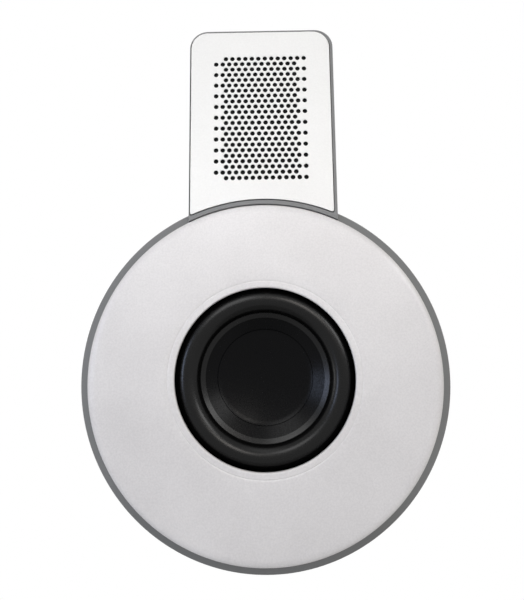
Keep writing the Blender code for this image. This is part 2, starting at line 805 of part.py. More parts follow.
def make_tab_cover():
    holes = [
        arc(x, up, HOLE_DIAMETER / 2, math.pi / 6, math.pi / 6 + HOLE_TURN, HOLE_SIDES - 1)
        for x, up in hole_centres()
    ]
    slab("tab_cover", [cover_outline(0), *holes], 0, COVER_REAR_DEPTH, COVER_LACQUER)


HOLE_TURN = 2 * math.pi * (HOLE_SIDES - 1) / HOLE_SIDES


def make_cover_tape():
    front = COVER_REAR_DEPTH + CLEARANCE
    slab(
        "cover_tape",
        [cover_outline(TAPE_INSET), cover_outline(TAPE_INSET + TAPE_WIDTH)],
        front,
        front + TAPE_THICKNESS,
        BLACK_FOAM,
    )


def make_acoustic_cloth():
    """Water-repellent cloth behind the perforation, inside the tape's frame."""
    front = COVER_REAR_DEPTH + CLEARANCE
    inset = TAPE_INSET + TAPE_WIDTH + CLEARANCE
    slab(
        "acoustic_cloth",
        [cover_outline(inset)],
        front,
        front + CLOTH_THICKNESS,
        BLACK_CLOTH,
    )


# ---------------------------------------------------------------- back of the case


def keyhole_centres():
    return [(-KEYHOLE_SPAN / 2, KEYHOLE_UP), (KEYHOLE_SPAN / 2, KEYHOLE_UP)]


def keyhole_cup(x, up, radius):
    """Long round-ended outline that covers the entry and the slot above it."""
    top = up + KEYHOLE_TRAVEL
    upper = arc(x, top, radius, 0, math.pi, 6)
    lower = arc(x, up, radius, math.pi, 2 * math.pi, 6)
    return upper + lower


def keyhole_outline(x, up):
    half = KEYHOLE_SLOT_WIDTH / 2
    joint = math.acos(half / KEYHOLE_ENTRY_RADIUS)
    entry = arc(x, up, KEYHOLE_ENTRY_RADIUS, math.pi - joint, 2 * math.pi + joint, 12)
    slot_end = arc(x, up + KEYHOLE_TRAVEL, half, 0, math.pi, 6)
    return entry + slot_end


def make_back_cover():
    rear = BODY_DEPTH
    cover = slab(
        "back_cover",
        [case_outline(SKIRT_WALL + CLEARANCE)],
        BACK_FRONT_DEPTH,
        rear,
        GREY_HOUSING,
    )
    cup_radius = KEYHOLE_ENTRY_RADIUS + 2 * CLEARANCE
    cup_front = BACK_FRONT_DEPTH - KEYHOLE_CUP_DEPTH
    for i, (x, up) in enumerate(keyhole_centres(), start=1):
        outer = slab(
            f"keyhole_cup_{i}",
            [keyhole_cup(x, up, cup_radius + KEYHOLE_CUP_WALL)],
            cup_front,
            BACK_FRONT_DEPTH + OVERCUT,
        )
        inner = slab(
            f"keyhole_room_{i}",
            [keyhole_cup(x, up, cup_radius)],
            cup_front + KEYHOLE_CUP_WALL,
            BACK_FRONT_DEPTH + OVERCUT,
        )
        hole = slab(
            f"keyhole_{i}", [keyhole_outline(x, up)], BACK_FRONT_DEPTH, rear + OVERCUT
        )
        join(cover, outer)
        cut(cover, inner, hole)
    cup_outer = cylinders(
        "cable_cup",
        [(0, CABLE_CUP_UP)],
        CABLE_CUP_RADIUS + CABLE_CUP_WALL,
        rear - CABLE_CUP_DEPTH - CABLE_CUP_WALL,
        rear - OVERCUT,
        MOTOR_SIDES,
    )
    posts = cylinders(
        "board_posts",
        board_post_centres(),
        BOARD_POST_RADIUS,
        BACK_FRONT_DEPTH - BOARD_STANDOFF,
        BACK_FRONT_DEPTH + OVERCUT,
        BOSS_SIDES,
    )
    join(cover, cup_outer, posts)
    return cut(cover, *back_cover_holes())


def back_cover_holes():
    rear = BODY_DEPTH
    head_radius, head_height, shank_radius = CASE_SCREW
    cup_room = cylinders(
        "cable_room",
        [(0, CABLE_CUP_UP)],
        CABLE_CUP_RADIUS,
        rear - CABLE_CUP_DEPTH,
        rear + OVERCUT,
        MOTOR_SIDES,
    )
    gland_hole = cylinders(
        "gland_hole",
        [(0, CABLE_CUP_UP)],
        GLAND_THREAD_RADIUS + CLEARANCE,
        rear - CABLE_CUP_DEPTH - CABLE_CUP_WALL - OVERCUT,
        rear - CABLE_CUP_DEPTH + OVERCUT,
        12,
    )
    screw_holes = cylinders(
        "back_screw_holes",
        back_boss_centres(),
        shank_radius + SCREW_HOLE_CLEARANCE,
        BACK_FRONT_DEPTH - OVERCUT,
        rear,
        SCREW_SIDES,
    )
    head_pockets = cylinders(
        "back_screw_pockets",
        back_boss_centres(),
        head_radius + CLEARANCE,
        rear - head_height - 2 * CLEARANCE,
        rear + OVERCUT,
        BOSS_SIDES,
    )
    post_pilots = cylinders(
        "post_pilots",
        board_screw_centres(),
        SMALL_SCREW[2] + SCREW_HOLE_CLEARANCE,
        BACK_FRONT_DEPTH - BOARD_STANDOFF - OVERCUT,
        BACK_FRONT_DEPTH - OVERCUT,
        SCREW_SIDES,
    )
    vent_hole = cylinders(
        "vent_hole",
        [(VENT_X, CABLE_CUP_UP)],
        VENT_STEM_RADIUS + CLEARANCE,
        BACK_FRONT_DEPTH - OVERCUT,
        rear,
        12,
    )
    vent_pocket = cylinders(
        "vent_pocket",
        [(VENT_X, CABLE_CUP_UP)],
        VENT_FLANGE_RADIUS + CLEARANCE,
        rear - VENT_FLANGE_THICKNESS - 2 * CLEARANCE,
        rear + OVERCUT,
        16,
    )
    return (
        cup_room,
        gland_hole,
        screw_holes,
        head_pockets,
        post_pilots,
        vent_hole,
        vent_pocket,
    )


def make_back_seal():
    slab(
        "back_seal",
        [case_outline(SKIRT_WALL + CLEARANCE), case_outline(CASE_WALL)],
        LEDGE_DEPTH + CLEARANCE,
        LEDGE_DEPTH + CLEARANCE + BACK_SEAL_THICKNESS,
        GREY_SEAL,
    )


def screw(name, x, up, head_face, towards_wall, size, length, finish):
    """A screw whose head's outer face lies at the depth head_face."""
    head_radius, head_height, shank_radius = size
    way = 1 if towards_wall else -1
    head_seat = head_face + way * head_height
    tip = head_face + way * length
    profile = [
        (0, head_face),
        (head_radius * 0.8, head_face),
        (head_radius, head_seat),
        (shank_radius, head_seat),
        (shank_radius, tip - way * shank_radius),
        (0, tip),
    ]
    if not towards_wall:
        profile.reverse()
    made = turned(name, profile, SCREW_SIDES, finish, ring=False)
    return place(made, 0, x, up)


def make_back_screws():
    for i, (x, up) in enumerate(back_boss_centres(), start=1):
        screw(
            f"back_screw_{i}",
            x,
            up,
            BODY_DEPTH - CLEARANCE,
            False,
            CASE_SCREW,
            CASE_SCREW_LENGTH,
            STAINLESS,
        )


def make_gland():
    """Cable gland through the floor of the back cover's recess, with its bore empty."""
    floor_rear = BODY_DEPTH - CABLE_CUP_DEPTH
    floor_front = floor_rear - CABLE_CUP_WALL
    flange_front = floor_rear + CLEARANCE
    flange_rear = flange_front + GLAND_FLANGE_THICKNESS
    nut_front = flange_rear + CLEARANCE
    nut_rear = nut_front + GLAND_NUT_LENGTH
    thread_front = floor_front - GLAND_LOCKNUT_THICKNESS - 2 * OVERCUT
    thread_rear = nut_front + GLAND_NUT_LENGTH * 0.4
    thread = cylinders(
        "gland_body",
        [(0, 0)],
        GLAND_THREAD_RADIUS,
        thread_front,
        thread_rear,
        12,
        BLACK_PLASTIC,
    )
    flange = slab(
        "gland_flange", [hexagon(GLAND_HEX_RADIUS)], flange_front, flange_rear
    )
    bore = cylinders(
        "gland_bore",
        [(0, 0)],
        GLAND_BORE_RADIUS,
        thread_front - OVERCUT,
        thread_rear + OVERCUT,
        12,
    )
    for part in (thread, flange, bore):
        place(part, -part.location.z, 0, CABLE_CUP_UP)
    join(thread, flange)
    cut(thread, bore)
    flat_to_corner = 1 / math.cos(math.radians(30))
    nut_mouth = (GLAND_BORE_RADIUS + CLEARANCE) * flat_to_corner
    nut_room = (GLAND_THREAD_RADIUS + CLEARANCE) * flat_to_corner
    nut_waist = nut_front + GLAND_NUT_LENGTH * 0.6
    nut = turned(
        "gland_nut",
        [
            (nut_room, nut_front),
            (GLAND_HEX_RADIUS, nut_front),
            (GLAND_HEX_RADIUS, nut_waist),
            (nut_mouth + 0.0012, nut_rear),
            (nut_mouth, nut_rear),
            (nut_mouth, nut_rear - 0.0010),
            (nut_room, nut_waist),
        ],
        6,
        BLACK_PLASTIC,
    )
    place(nut, 0, 0, CABLE_CUP_UP)
    seal = turned(
        "gland_seal",
        [
            (GLAND_BORE_RADIUS + CLEARANCE, thread_rear + CLEARANCE),
            (GLAND_THREAD_RADIUS - CLEARANCE, thread_rear + CLEARANCE),
            (GLAND_THREAD_RADIUS - CLEARANCE, thread_rear + 0.0012),
            (GLAND_BORE_RADIUS + CLEARANCE, thread_rear + 0.0012),
        ],
        12,
        BLACK_RUBBER,
    )
    place(seal, 0, 0, CABLE_CUP_UP)
    lock_rear = floor_front - CLEARANCE
    locknut = slab(
        "gland_locknut",
        [
            hexagon(GLAND_HEX_RADIUS, 0, CABLE_CUP_UP),
            arc(0, CABLE_CUP_UP, GLAND_THREAD_RADIUS + CLEARANCE, 0, 11 / 6 * math.pi, 11),
        ],
        lock_rear - GLAND_LOCKNUT_THICKNESS,
        lock_rear,
        BLACK_PLASTIC,
    )
    return locknut


def make_vent_plug():
    rear = BODY_DEPTH - CLEARANCE
    flange_front = rear - VENT_FLANGE_THICKNESS
    plug = turned(
        "vent_plug",
        [
            (0, BACK_FRONT_DEPTH),
            (VENT_STEM_RADIUS, BACK_FRONT_DEPTH),
            (VENT_STEM_RADIUS, flange_front),
            (VENT_FLANGE_RADIUS, flange_front),
            (VENT_FLANGE_RADIUS, rear),
            (0, rear),
        ],
        12,
        BLACK_PLASTIC,
        ring=False,
    )
    place(plug, 0, VENT_X, CABLE_CUP_UP)


# ---------------------------------------------------------------- woofer


FLANGE_REAR = BAFFLE_DEPTH - 2 * CLEARANCE - WOOFER_GASKET_THICKNESS
FLANGE_FRONT = FLANGE_REAR - BASKET_SHEET
CUP_INNER_RADIUS = BASKET_CUP_RADIUS - BASKET_SHEET
LEDGE_REAR = BASKET_LEDGE_DEPTH + BASKET_SHEET
SPIDER_SEAT_RADIUS = SPIDER_OUTER_RADIUS + 4 * CLEARANCE
RUBBER_MIDDLE = BASKET_LEDGE_DEPTH - CLEARANCE - RUBBER_THICKNESS / 2


def make_basket():
    rear_front = BASKET_DEPTH - BASKET_SHEET
    spider_inner = SPIDER_SEAT_RADIUS - SPIDER_LEDGE_WIDTH
    basket = turned(
        "woofer_basket",
        [
            (BASKET_FLANGE_RADIUS, FLANGE_FRONT),
            (BASKET_FLANGE_RADIUS, FLANGE_REAR),
            (BASKET_CUP_RADIUS, FLANGE_REAR),
            (BASKET_CUP_RADIUS, LEDGE_REAR),
            (BASKET_LEDGE_INNER_RADIUS + BASKET_SHEET, LEDGE_REAR),
            (BASKET_REAR_RADIUS + 2 * BASKET_SHEET, SPIDER_LANDING_DEPTH + BASKET_SHEET),
            (BASKET_REAR_RADIUS, BASKET_DEPTH),
            (AIR_GAP_RADIUS + BASKET_SHEET, BASKET_DEPTH),
            (AIR_GAP_RADIUS + BASKET_SHEET, rear_front),
            (spider_inner, rear_front),
            (spider_inner, SPIDER_LANDING_DEPTH),
            (SPIDER_SEAT_RADIUS, SPIDER_LANDING_DEPTH),
            (BASKET_LEDGE_INNER_RADIUS, BASKET_LEDGE_DEPTH),
            (CUP_INNER_RADIUS, BASKET_LEDGE_DEPTH),
            (CUP_INNER_RADIUS, FLANGE_FRONT),
        ],
        MOTOR_SIDES,
        BLACK_PLASTIC,
    )
    return cut(basket, basket_window_cutters(), woofer_hole_pattern("basket_holes"))


def basket_window_cutters():
    """Round windows between the legs, cut square to the basket's sloping wall."""
    shape = bmesh.new()
    middle_radius = (BASKET_LEDGE_INNER_RADIUS + SPIDER_SEAT_RADIUS) / 2
    middle_depth = (LEDGE_REAR + SPIDER_LANDING_DEPTH) / 2
    slope_length = math.hypot(
        BASKET_LEDGE_INNER_RADIUS - SPIDER_SEAT_RADIUS, SPIDER_LANDING_DEPTH - LEDGE_REAR
    )
    height = BASKET_WINDOW_SHARE * slope_length
    width = 2 * math.pi * middle_radius / BASKET_WINDOWS - BASKET_LEG_WIDTH
    for i in range(BASKET_WINDOWS):
        turn = Matrix.Rotation(2 * math.pi * (i + 0.5) / BASKET_WINDOWS, 4, "Z")
        out = Matrix.Translation((middle_radius, 0, -middle_depth))
        lean = Matrix.Rotation(math.radians(60), 4, "Y")
        wide = Matrix.Diagonal((1.0, width / height, 1.0, 1.0))
        bmesh.ops.create_cone(
            shape,
            cap_ends=True,
            segments=8,
            radius1=height / 2,
            radius2=height / 2,
            depth=8 * BASKET_SHEET,
            matrix=turn @ out @ lean @ wide,
        )
    return from_bmesh("basket_windows", shape)


def woofer_hole_pattern(name):
    return cylinders(
        name,
        woofer_screw_centres(),
        DRIVER_SCREW[2] + SCREW_HOLE_CLEARANCE,
        FLANGE_FRONT - OVERCUT,
        BAFFLE_DEPTH + OVERCUT,
        SCREW_SIDES,
    )


def make_woofer_gasket():
    inner = BASKET_CUP_RADIUS + 2 * CLEARANCE
    front = FLANGE_REAR + CLEARANCE
    back = front + WOOFER_GASKET_THICKNESS
    gasket = turned(
        "woofer_gasket",
        [
            (inner, front),
            (BASKET_FLANGE_RADIUS, front),
            (BASKET_FLANGE_RADIUS, back),
            (inner, back),
        ],
        MOTOR_SIDES,
        BLACK_FOAM,
    )
    return cut(gasket, woofer_hole_pattern("gasket_holes"))


def make_woofer_screws():
    head_face = FLANGE_FRONT - CLEARANCE - DRIVER_SCREW[1]
    for i, (x, up) in enumerate(woofer_screw_centres(), start=1):
        screw(
            f"woofer_screw_{i}",
            x,
            up,
            head_face,
            True,
            DRIVER_SCREW,
            DRIVER_SCREW_LENGTH,
            STAINLESS,
        )


def sheet_loop(line, thickness):
    """Closed profile of a sheet of even thickness along a line of (radius, depth)."""
    front, back = [], []
    for i, (r, d) in enumerate(line):
        before, after = line[max(i - 1, 0)], line[min(i + 1, len(line) - 1)]
        along = (after[0] - before[0], after[1] - before[1])
        length = math.hypot(*along)
        normal = (along[1] / length, -along[0] / length)
        front.append((r + normal[0] * thickness / 2, d + normal[1] * thickness / 2))
        back.append((r - normal[0] * thickness / 2, d - normal[1] * thickness / 2))
    return front + back[::-1]


def cone_depth(radius):
    """Depth of the cone's front face at a radius: straight, and seated under the rubber."""
    return CONE_LIP_DEPTH + (ROLL_INNER_RADIUS - radius) * CONE_SLOPE


def make_surround():
    """Rubber half-roll: outer flange, roll, and a lip that lies on the cone."""
    middle = (ROLL_OUTER_RADIUS + ROLL_INNER_RADIUS) / 2
    half_width = (ROLL_OUTER_RADIUS - ROLL_INNER_RADIUS) / 2
    roll = [
        (
            middle - half_width * math.cos(math.radians(a)),
            RUBBER_MIDDLE - ROLL_HEIGHT * math.sin(math.radians(a)),
        )
        for a in (0, 36, 72, 108, 144, 180)
    ]
    lip_radius = ROLL_INNER_RADIUS - RUBBER_LIP_WIDTH
    lip = (lip_radius, RUBBER_MIDDLE + (ROLL_INNER_RADIUS - lip_radius) * CONE_SLOPE)
    outer = (CUP_INNER_RADIUS - 2 * CLEARANCE, RUBBER_MIDDLE)
    turned(
        "woofer_surround",
        sheet_loop([lip, *roll, outer], RUBBER_THICKNESS),
        DRIVER_SIDES,
        BLACK_RUBBER,
    )


def make_cone():
    neck = COIL_RADIUS + CLEARANCE
    front = [(r, cone_depth(r)) for r in (neck, CONE_OUTER_RADIUS)]
    back = [(r, d + CONE_SHEET) for r, d in reversed(front)]
    cone = turned("woofer_cone", front + back, DRIVER_SIDES, BLACK_CONE)
    cone.parent = WOOFER_TRAVEL


def make_dust_cap():
    """Dished cap glued on the cone, hollow towards the listener."""
    rim_inner = DUST_CAP_RADIUS - DUST_CAP_RIM
    rim_depth = cone_depth(DUST_CAP_RADIUS) - 2 * CLEARANCE - CONE_SHEET
    dish = []
    for share in (1, 0.7, 0.35):
        dish.append((rim_inner * share, rim_depth + DUST_CAP_DISH * (1 - share**2)))
    centre = rim_depth + DUST_CAP_DISH
    front = [(0, centre), *reversed(dish), (DUST_CAP_RADIUS, rim_depth)]
    back = [(r, d + CONE_SHEET) for r, d in reversed(front)]
    cap = turned("woofer_dust_cap", front + back, DRIVER_SIDES, BLACK_CONE, ring=False)
    cap.parent = WOOFER_TRAVEL


def make_voice_coil():
    inner = COIL_RADIUS - COIL_FORMER_WALL
    former = turned(
        "woofer_coil_former",
        [
            (inner, CONE_NECK_DEPTH),
            (COIL_RADIUS, CONE_NECK_DEPTH),
            (COIL_RADIUS, COIL_REAR),
            (inner, COIL_REAR),
        ],
        SMALL_SIDES,
        FORMER_FOIL,
    )
    wire_inner = COIL_RADIUS + CLEARANCE
    wire_outer = wire_inner + COIL_WINDING_THICKNESS
    winding = turned(
        "woofer_coil_winding",
        [
            (wire_inner, COIL_REAR - COIL_WINDING_LENGTH),
            (wire_outer, COIL_REAR - COIL_WINDING_LENGTH),
            (wire_outer, COIL_REAR),
            (wire_inner, COIL_REAR),
        ],
        SMALL_SIDES,
        COPPER,
    )
    for part in (former, winding):
        part.parent = WOOFER_TRAVEL


def make_spider():
    """Corrugated cloth that centres the coil, from its landing up to the neck."""
    neck = COIL_RADIUS + 2 * CLEARANCE
    landing = SPIDER_OUTER_RADIUS - SPIDER_RIM_WIDTH
    landing_depth = SPIDER_LANDING_DEPTH - CLEARANCE - SPIDER_THICKNESS / 2
    line = [(neck, landing_depth - SPIDER_CUP)]
    folds = 2 * SPIDER_WAVES
    for i in range(folds):
        share = (i + 0.5) / folds
        wave = SPIDER_WAVE_HEIGHT if i % 2 == 0 else -SPIDER_WAVE_HEIGHT
        radius = neck + (landing - neck) * share
        line.append((radius, landing_depth - SPIDER_CUP * (1 - share) + wave))
    line += [(landing, landing_depth), (SPIDER_OUTER_RADIUS, landing_depth)]
    turned("woofer_spider", sheet_loop(line, SPIDER_THICKNESS), SMALL_SIDES, SPIDER_CLOTH)


def make_woofer_motor():
    magnet_front = TOP_PLATE_REAR + CLEARANCE
    magnet_rear = YOKE_FRONT - CLEARANCE
    turned(
        "woofer_top_plate",
        [
            (AIR_GAP_RADIUS, TOP_PLATE_FRONT),
            (TOP_PLATE_RADIUS, TOP_PLATE_FRONT),
            (TOP_PLATE_RADIUS, TOP_PLATE_REAR),
            (AIR_GAP_RADIUS, TOP_PLATE_REAR),
        ],
        MOTOR_SIDES,
        STEEL,
    )
    turned(
        "woofer_magnet",
        [
            (MAGNET_BORE_RADIUS, magnet_front),
            (MAGNET_RADIUS, magnet_front),
            (MAGNET_RADIUS, magnet_rear),
            (MAGNET_BORE_RADIUS, magnet_rear),
        ],
        MOTOR_SIDES,
        FERRITE,
    )
    turned(
        "woofer_yoke",
        [
            (0, TOP_PLATE_FRONT),
            (POLE_RADIUS, TOP_PLATE_FRONT),
            (POLE_RADIUS, YOKE_FRONT),
            (YOKE_RADIUS, YOKE_FRONT),
            (YOKE_RADIUS, YOKE_REAR),
            (0, YOKE_REAR),
        ],
        MOTOR_SIDES,
        STEEL,
        ring=False,
    )


def make_woofer_terminal():
    """Terminal strip behind the basket's ledge, at the top."""
    low_up = BASKET_CUP_RADIUS - TERMINAL_HEIGHT - 4 * CLEARANCE
    front = LEDGE_REAR + CLEARANCE
    box(
        "woofer_terminal",
        (-TERMINAL_WIDTH / 2, low_up, front),
        (TERMINAL_WIDTH / 2, low_up + TERMINAL_HEIGHT, front + TERMINAL_LENGTH),
        BLACK_PLASTIC,
    )


# ---------------------------------------------------------------- tweeter


CARRIER_FRONT = TAB_WALL_REAR + CLEARANCE
CARRIER_REAR = CARRIER_FRONT + CARRIER_THICKNESS
RING_FRONT = CARRIER_REAR + CLEARANCE
RING_REAR = RING_FRONT + DOME_SHEET
TWEETER_PLATE_FRONT = RING_REAR + CLEARANCE


def make_tweeter_carrier():
    carrier = slab(
        "tweeter_carrier",
        [
            rounded_rectangle(
                CARRIER_WIDTH, CARRIER_HEIGHT, CARRIER_CORNER_RADIUS, 0, TWEETER_UP
            )
        ],
        CARRIER_FRONT,
        CARRIER_REAR,
        BLACK_PLASTIC,
    )
    shape = bmesh.new()
    bmesh.ops.create_cone(
        shape,
        cap_ends=True,
        segments=MOTOR_SIDES,
        radius1=CARRIER_THROAT_RADIUS - (CARRIER_MOUTH_RADIUS - CARRIER_THROAT_RADIUS) / 4,
        radius2=CARRIER_MOUTH_RADIUS + (CARRIER_MOUTH_RADIUS - CARRIER_THROAT_RADIUS) / 4,
        depth=CARRIER_THICKNESS * 1.5,
        matrix=Matrix.Translation((0, TWEETER_UP, -(CARRIER_FRONT + CARRIER_REAR) / 2)),
    )
    horn = from_bmesh("carrier_horn", shape)
    holes = cylinders(
        "carrier_holes",
        tweeter_screw_centres(),
        SMALL_SCREW[2] + SCREW_HOLE_CLEARANCE,
        CARRIER_FRONT - OVERCUT,
        CARRIER_REAR + OVERCUT,
        SCREW_SIDES,
    )
    return cut(carrier, horn, holes)


def make_tweeter_screws():
    head_face = CARRIER_REAR + CLEARANCE + SMALL_SCREW[1]
    for i, (x, up) in enumerate(tweeter_screw_centres(), start=1):
        screw(
            f"tweeter_screw_{i}",
            x,
            up,
            head_face,
            False,
            SMALL_SCREW,
            SMALL_SCREW_LENGTH,
            STAINLESS,
        )


def make_tweeter_dome():
    """Coated silk dome that moves, inside a fixed suspension ring."""
    steps = 4
    front = []
    for i in range(steps + 1):
        share = i / steps
        rise = DOME_HEIGHT * (1 - share**2)
        front.append((DOME_RADIUS * share, RING_REAR - rise - DOME_SHEET))
    back = [(r, d + DOME_SHEET) for r, d in reversed(front)]
    dome = turned("tweeter_dome", front + back, SMALL_SIDES, SILK, ring=False)
    dome.parent = TWEETER_TRAVEL
    ring_inner = DOME_RADIUS + CLEARANCE
    ring = turned(
        "tweeter_suspension",
        [
            (ring_inner, RING_FRONT),
            (TWEETER_RING_RADIUS, RING_FRONT),
            (TWEETER_RING_RADIUS, RING_REAR),
            (ring_inner, RING_REAR),
        ],
        SMALL_SIDES,
        SILK,
    )
    place(ring, 0, 0, TWEETER_UP)


def make_tweeter_coil():
    outer = DOME_RADIUS - CLEARANCE
    front = RING_REAR + CLEARANCE
    rear = front + TWEETER_COIL_LENGTH
    coil = turned(
        "tweeter_coil",
        [
            (outer - TWEETER_COIL_WALL, front),
            (outer, front),
            (outer, rear),
            (outer - TWEETER_COIL_WALL, rear),
        ],
        SMALL_SIDES,
        COPPER,
    )
    coil.parent = TWEETER_TRAVEL


def make_tweeter_motor():
    gap_radius = DOME_RADIUS + 2 * CLEARANCE
    pole_radius = DOME_RADIUS - TWEETER_COIL_WALL - 3 * CLEARANCE
    plate_rear = TWEETER_PLATE_FRONT + TWEETER_PLATE_THICKNESS
    magnet_front = plate_rear + CLEARANCE
    magnet_rear = magnet_front + TWEETER_MAGNET_LENGTH
    yoke_front = magnet_rear + CLEARANCE
    yoke_rear = yoke_front + TWEETER_YOKE_THICKNESS
    plate = turned(
        "tweeter_top_plate",
        [
            (gap_radius, TWEETER_PLATE_FRONT),
            (TWEETER_PLATE_RADIUS, TWEETER_PLATE_FRONT),
            (TWEETER_PLATE_RADIUS, plate_rear),
            (gap_radius, plate_rear),
        ],
        SMALL_SIDES,
        STEEL,
    )
    magnet = turned(
        "tweeter_magnet",
        [
            (TWEETER_MAGNET_BORE_RADIUS, magnet_front),
            (TWEETER_MAGNET_RADIUS, magnet_front),
            (TWEETER_MAGNET_RADIUS, magnet_rear),
            (TWEETER_MAGNET_BORE_RADIUS, magnet_rear),
        ],
        SMALL_SIDES,
        FERRITE,
    )
    yoke = turned(
        "tweeter_yoke",
        [
            (0, TWEETER_PLATE_FRONT),
            (pole_radius, TWEETER_PLATE_FRONT),
            (pole_radius, yoke_front),
            (TWEETER_MAGNET_RADIUS, yoke_front),
            (TWEETER_MAGNET_RADIUS, yoke_rear),
            (0, yoke_rear),
        ],
        SMALL_SIDES,
        STEEL,
        ring=False,
    )
    for part in (plate, magnet, yoke):
        place(part, 0, 0, TWEETER_UP)


# ---------------------------------------------------------------- crossover


BOARD_REAR = BACK_FRONT_DEPTH - BOARD_STANDOFF - CLEARANCE
BOARD_FRONT = BOARD_REAR - BOARD_THICKNESS
COMPONENT_REAR = BOARD_FRONT - CLEARANCE


def make_board():
    board = box(
        "crossover_board",
        (-BOARD_WIDTH / 2, TWEETER_UP - BOARD_HEIGHT / 2, BOARD_FRONT),
        (BOARD_WIDTH / 2, TWEETER_UP + BOARD_HEIGHT / 2, BOARD_REAR),
        CIRCUIT_BOARD,
    )
    holes = cylinders(
        "board_holes",
        board_screw_centres(),
        SMALL_SCREW[2] + SCREW_HOLE_CLEARANCE,
        BOARD_FRONT - OVERCUT,
        BOARD_REAR + OVERCUT,
        SCREW_SIDES,
    )
    cut(board, holes)
    for i, (x, up) in enumerate(board_screw_centres(), start=1):
        screw(
            f"board_screw_{i}",
            x,
            up,
            BOARD_FRONT - CLEARANCE - SMALL_SCREW[1],
            True,
            SMALL_SCREW,
            SMALL_SCREW_LENGTH,
            STAINLESS,
        )


def make_components():
    capacitor = cylinders(
        "crossover_capacitor",
        [(0, 0)],
        CAPACITOR_RADIUS,
        -CAPACITOR_LENGTH / 2,
        CAPACITOR_LENGTH / 2,
        14,
        FILM_YELLOW,
    )
    capacitor.rotation_euler = (0, math.radians(90), 0)
    place(
        capacitor,
        COMPONENT_REAR - CAPACITOR_RADIUS,
        -BOARD_WIDTH / 2 + CAPACITOR_LENGTH / 2 + 2 * OVERCUT,
        TWEETER_UP + BOARD_HEIGHT / 2 - CAPACITOR_RADIUS - OVERCUT,
    )
    bobbin_front = COMPONENT_REAR - INDUCTOR_HEIGHT
    bobbin = turned(
        "crossover_inductor",
        [
            (INDUCTOR_RADIUS * 0.4, bobbin_front),
            (INDUCTOR_RADIUS, bobbin_front),
            (INDUCTOR_RADIUS, COMPONENT_REAR),
            (INDUCTOR_RADIUS * 0.4, COMPONENT_REAR),
        ],
        SMALL_SIDES,
        COPPER,
    )
    place(
        bobbin,
        0,
        BOARD_WIDTH / 2 - INDUCTOR_RADIUS - 2 * OVERCUT,
        TWEETER_UP - OVERCUT,
    )
    resistor_left = -BOARD_WIDTH / 2 + 2 * OVERCUT
    resistor_up = TWEETER_UP - RESISTOR_SIDE
    box(
        "crossover_resistor",
        (resistor_left, resistor_up, COMPONENT_REAR - RESISTOR_SIDE),
        (resistor_left + RESISTOR_LENGTH, resistor_up + RESISTOR_SIDE, COMPONENT_REAR),
        CERAMIC_WHITE,
    )
    block_low = TWEETER_UP - BOARD_HEIGHT / 2 + OVERCUT
    box(
        "terminal_block",
        (-BLOCK_LENGTH / 2, block_low, COMPONENT_REAR - BLOCK_SIDE),
        (BLOCK_LENGTH / 2, block_low + BLOCK_SIDE, COMPONENT_REAR),
        TERMINAL_GREEN,
    )


def smooth_route(knots, step_count):
    """Points along a Catmull-Rom curve through the knots."""
    ends = [knots[0]] + list(knots) + [knots[-1]]
    points = []
    for a, b, c, d in zip(ends, ends[1:], ends[2:], ends[3:]):
        for i in range(step_count):
            t = i / step_count
            points.append(
                tuple(
                    0.5
                    * (
                        2 * q
                        + (r - p) * t
                        + (2 * p - 5 * q + 4 * r - s) * t * t
                        + (3 * q - p - 3 * r + s) * t**3
                    )
                    for p, q, r, s in zip(a, b, c, d)
                )
            )
    points.append(knots[-1])
    return points


def lead(name, knots, finish):
    """A round lead through (x, up, depth) points, straight from each end to the next."""
    curve = bpy.data.curves.new(name, "CURVE")
    curve.dimensions = "3D"
    curve.bevel_depth = LEAD_RADIUS
    curve.bevel_resolution = 1
    curve.use_fill_caps = True
    spline = curve.splines.new("POLY")
    points = [knots[0], *smooth_route(knots[1:-1], 3), knots[-1]]
    spline.points.add(len(points) - 1)
    for point, (x, up, depth) in zip(spline.points, points):
        point.co = (x, up, -depth, 1)
    outline = bpy.data.objects.new(name + "_route", curve)
    CUTTERS.objects.link(outline)
    return solid_from_curve(name, outline, finish)


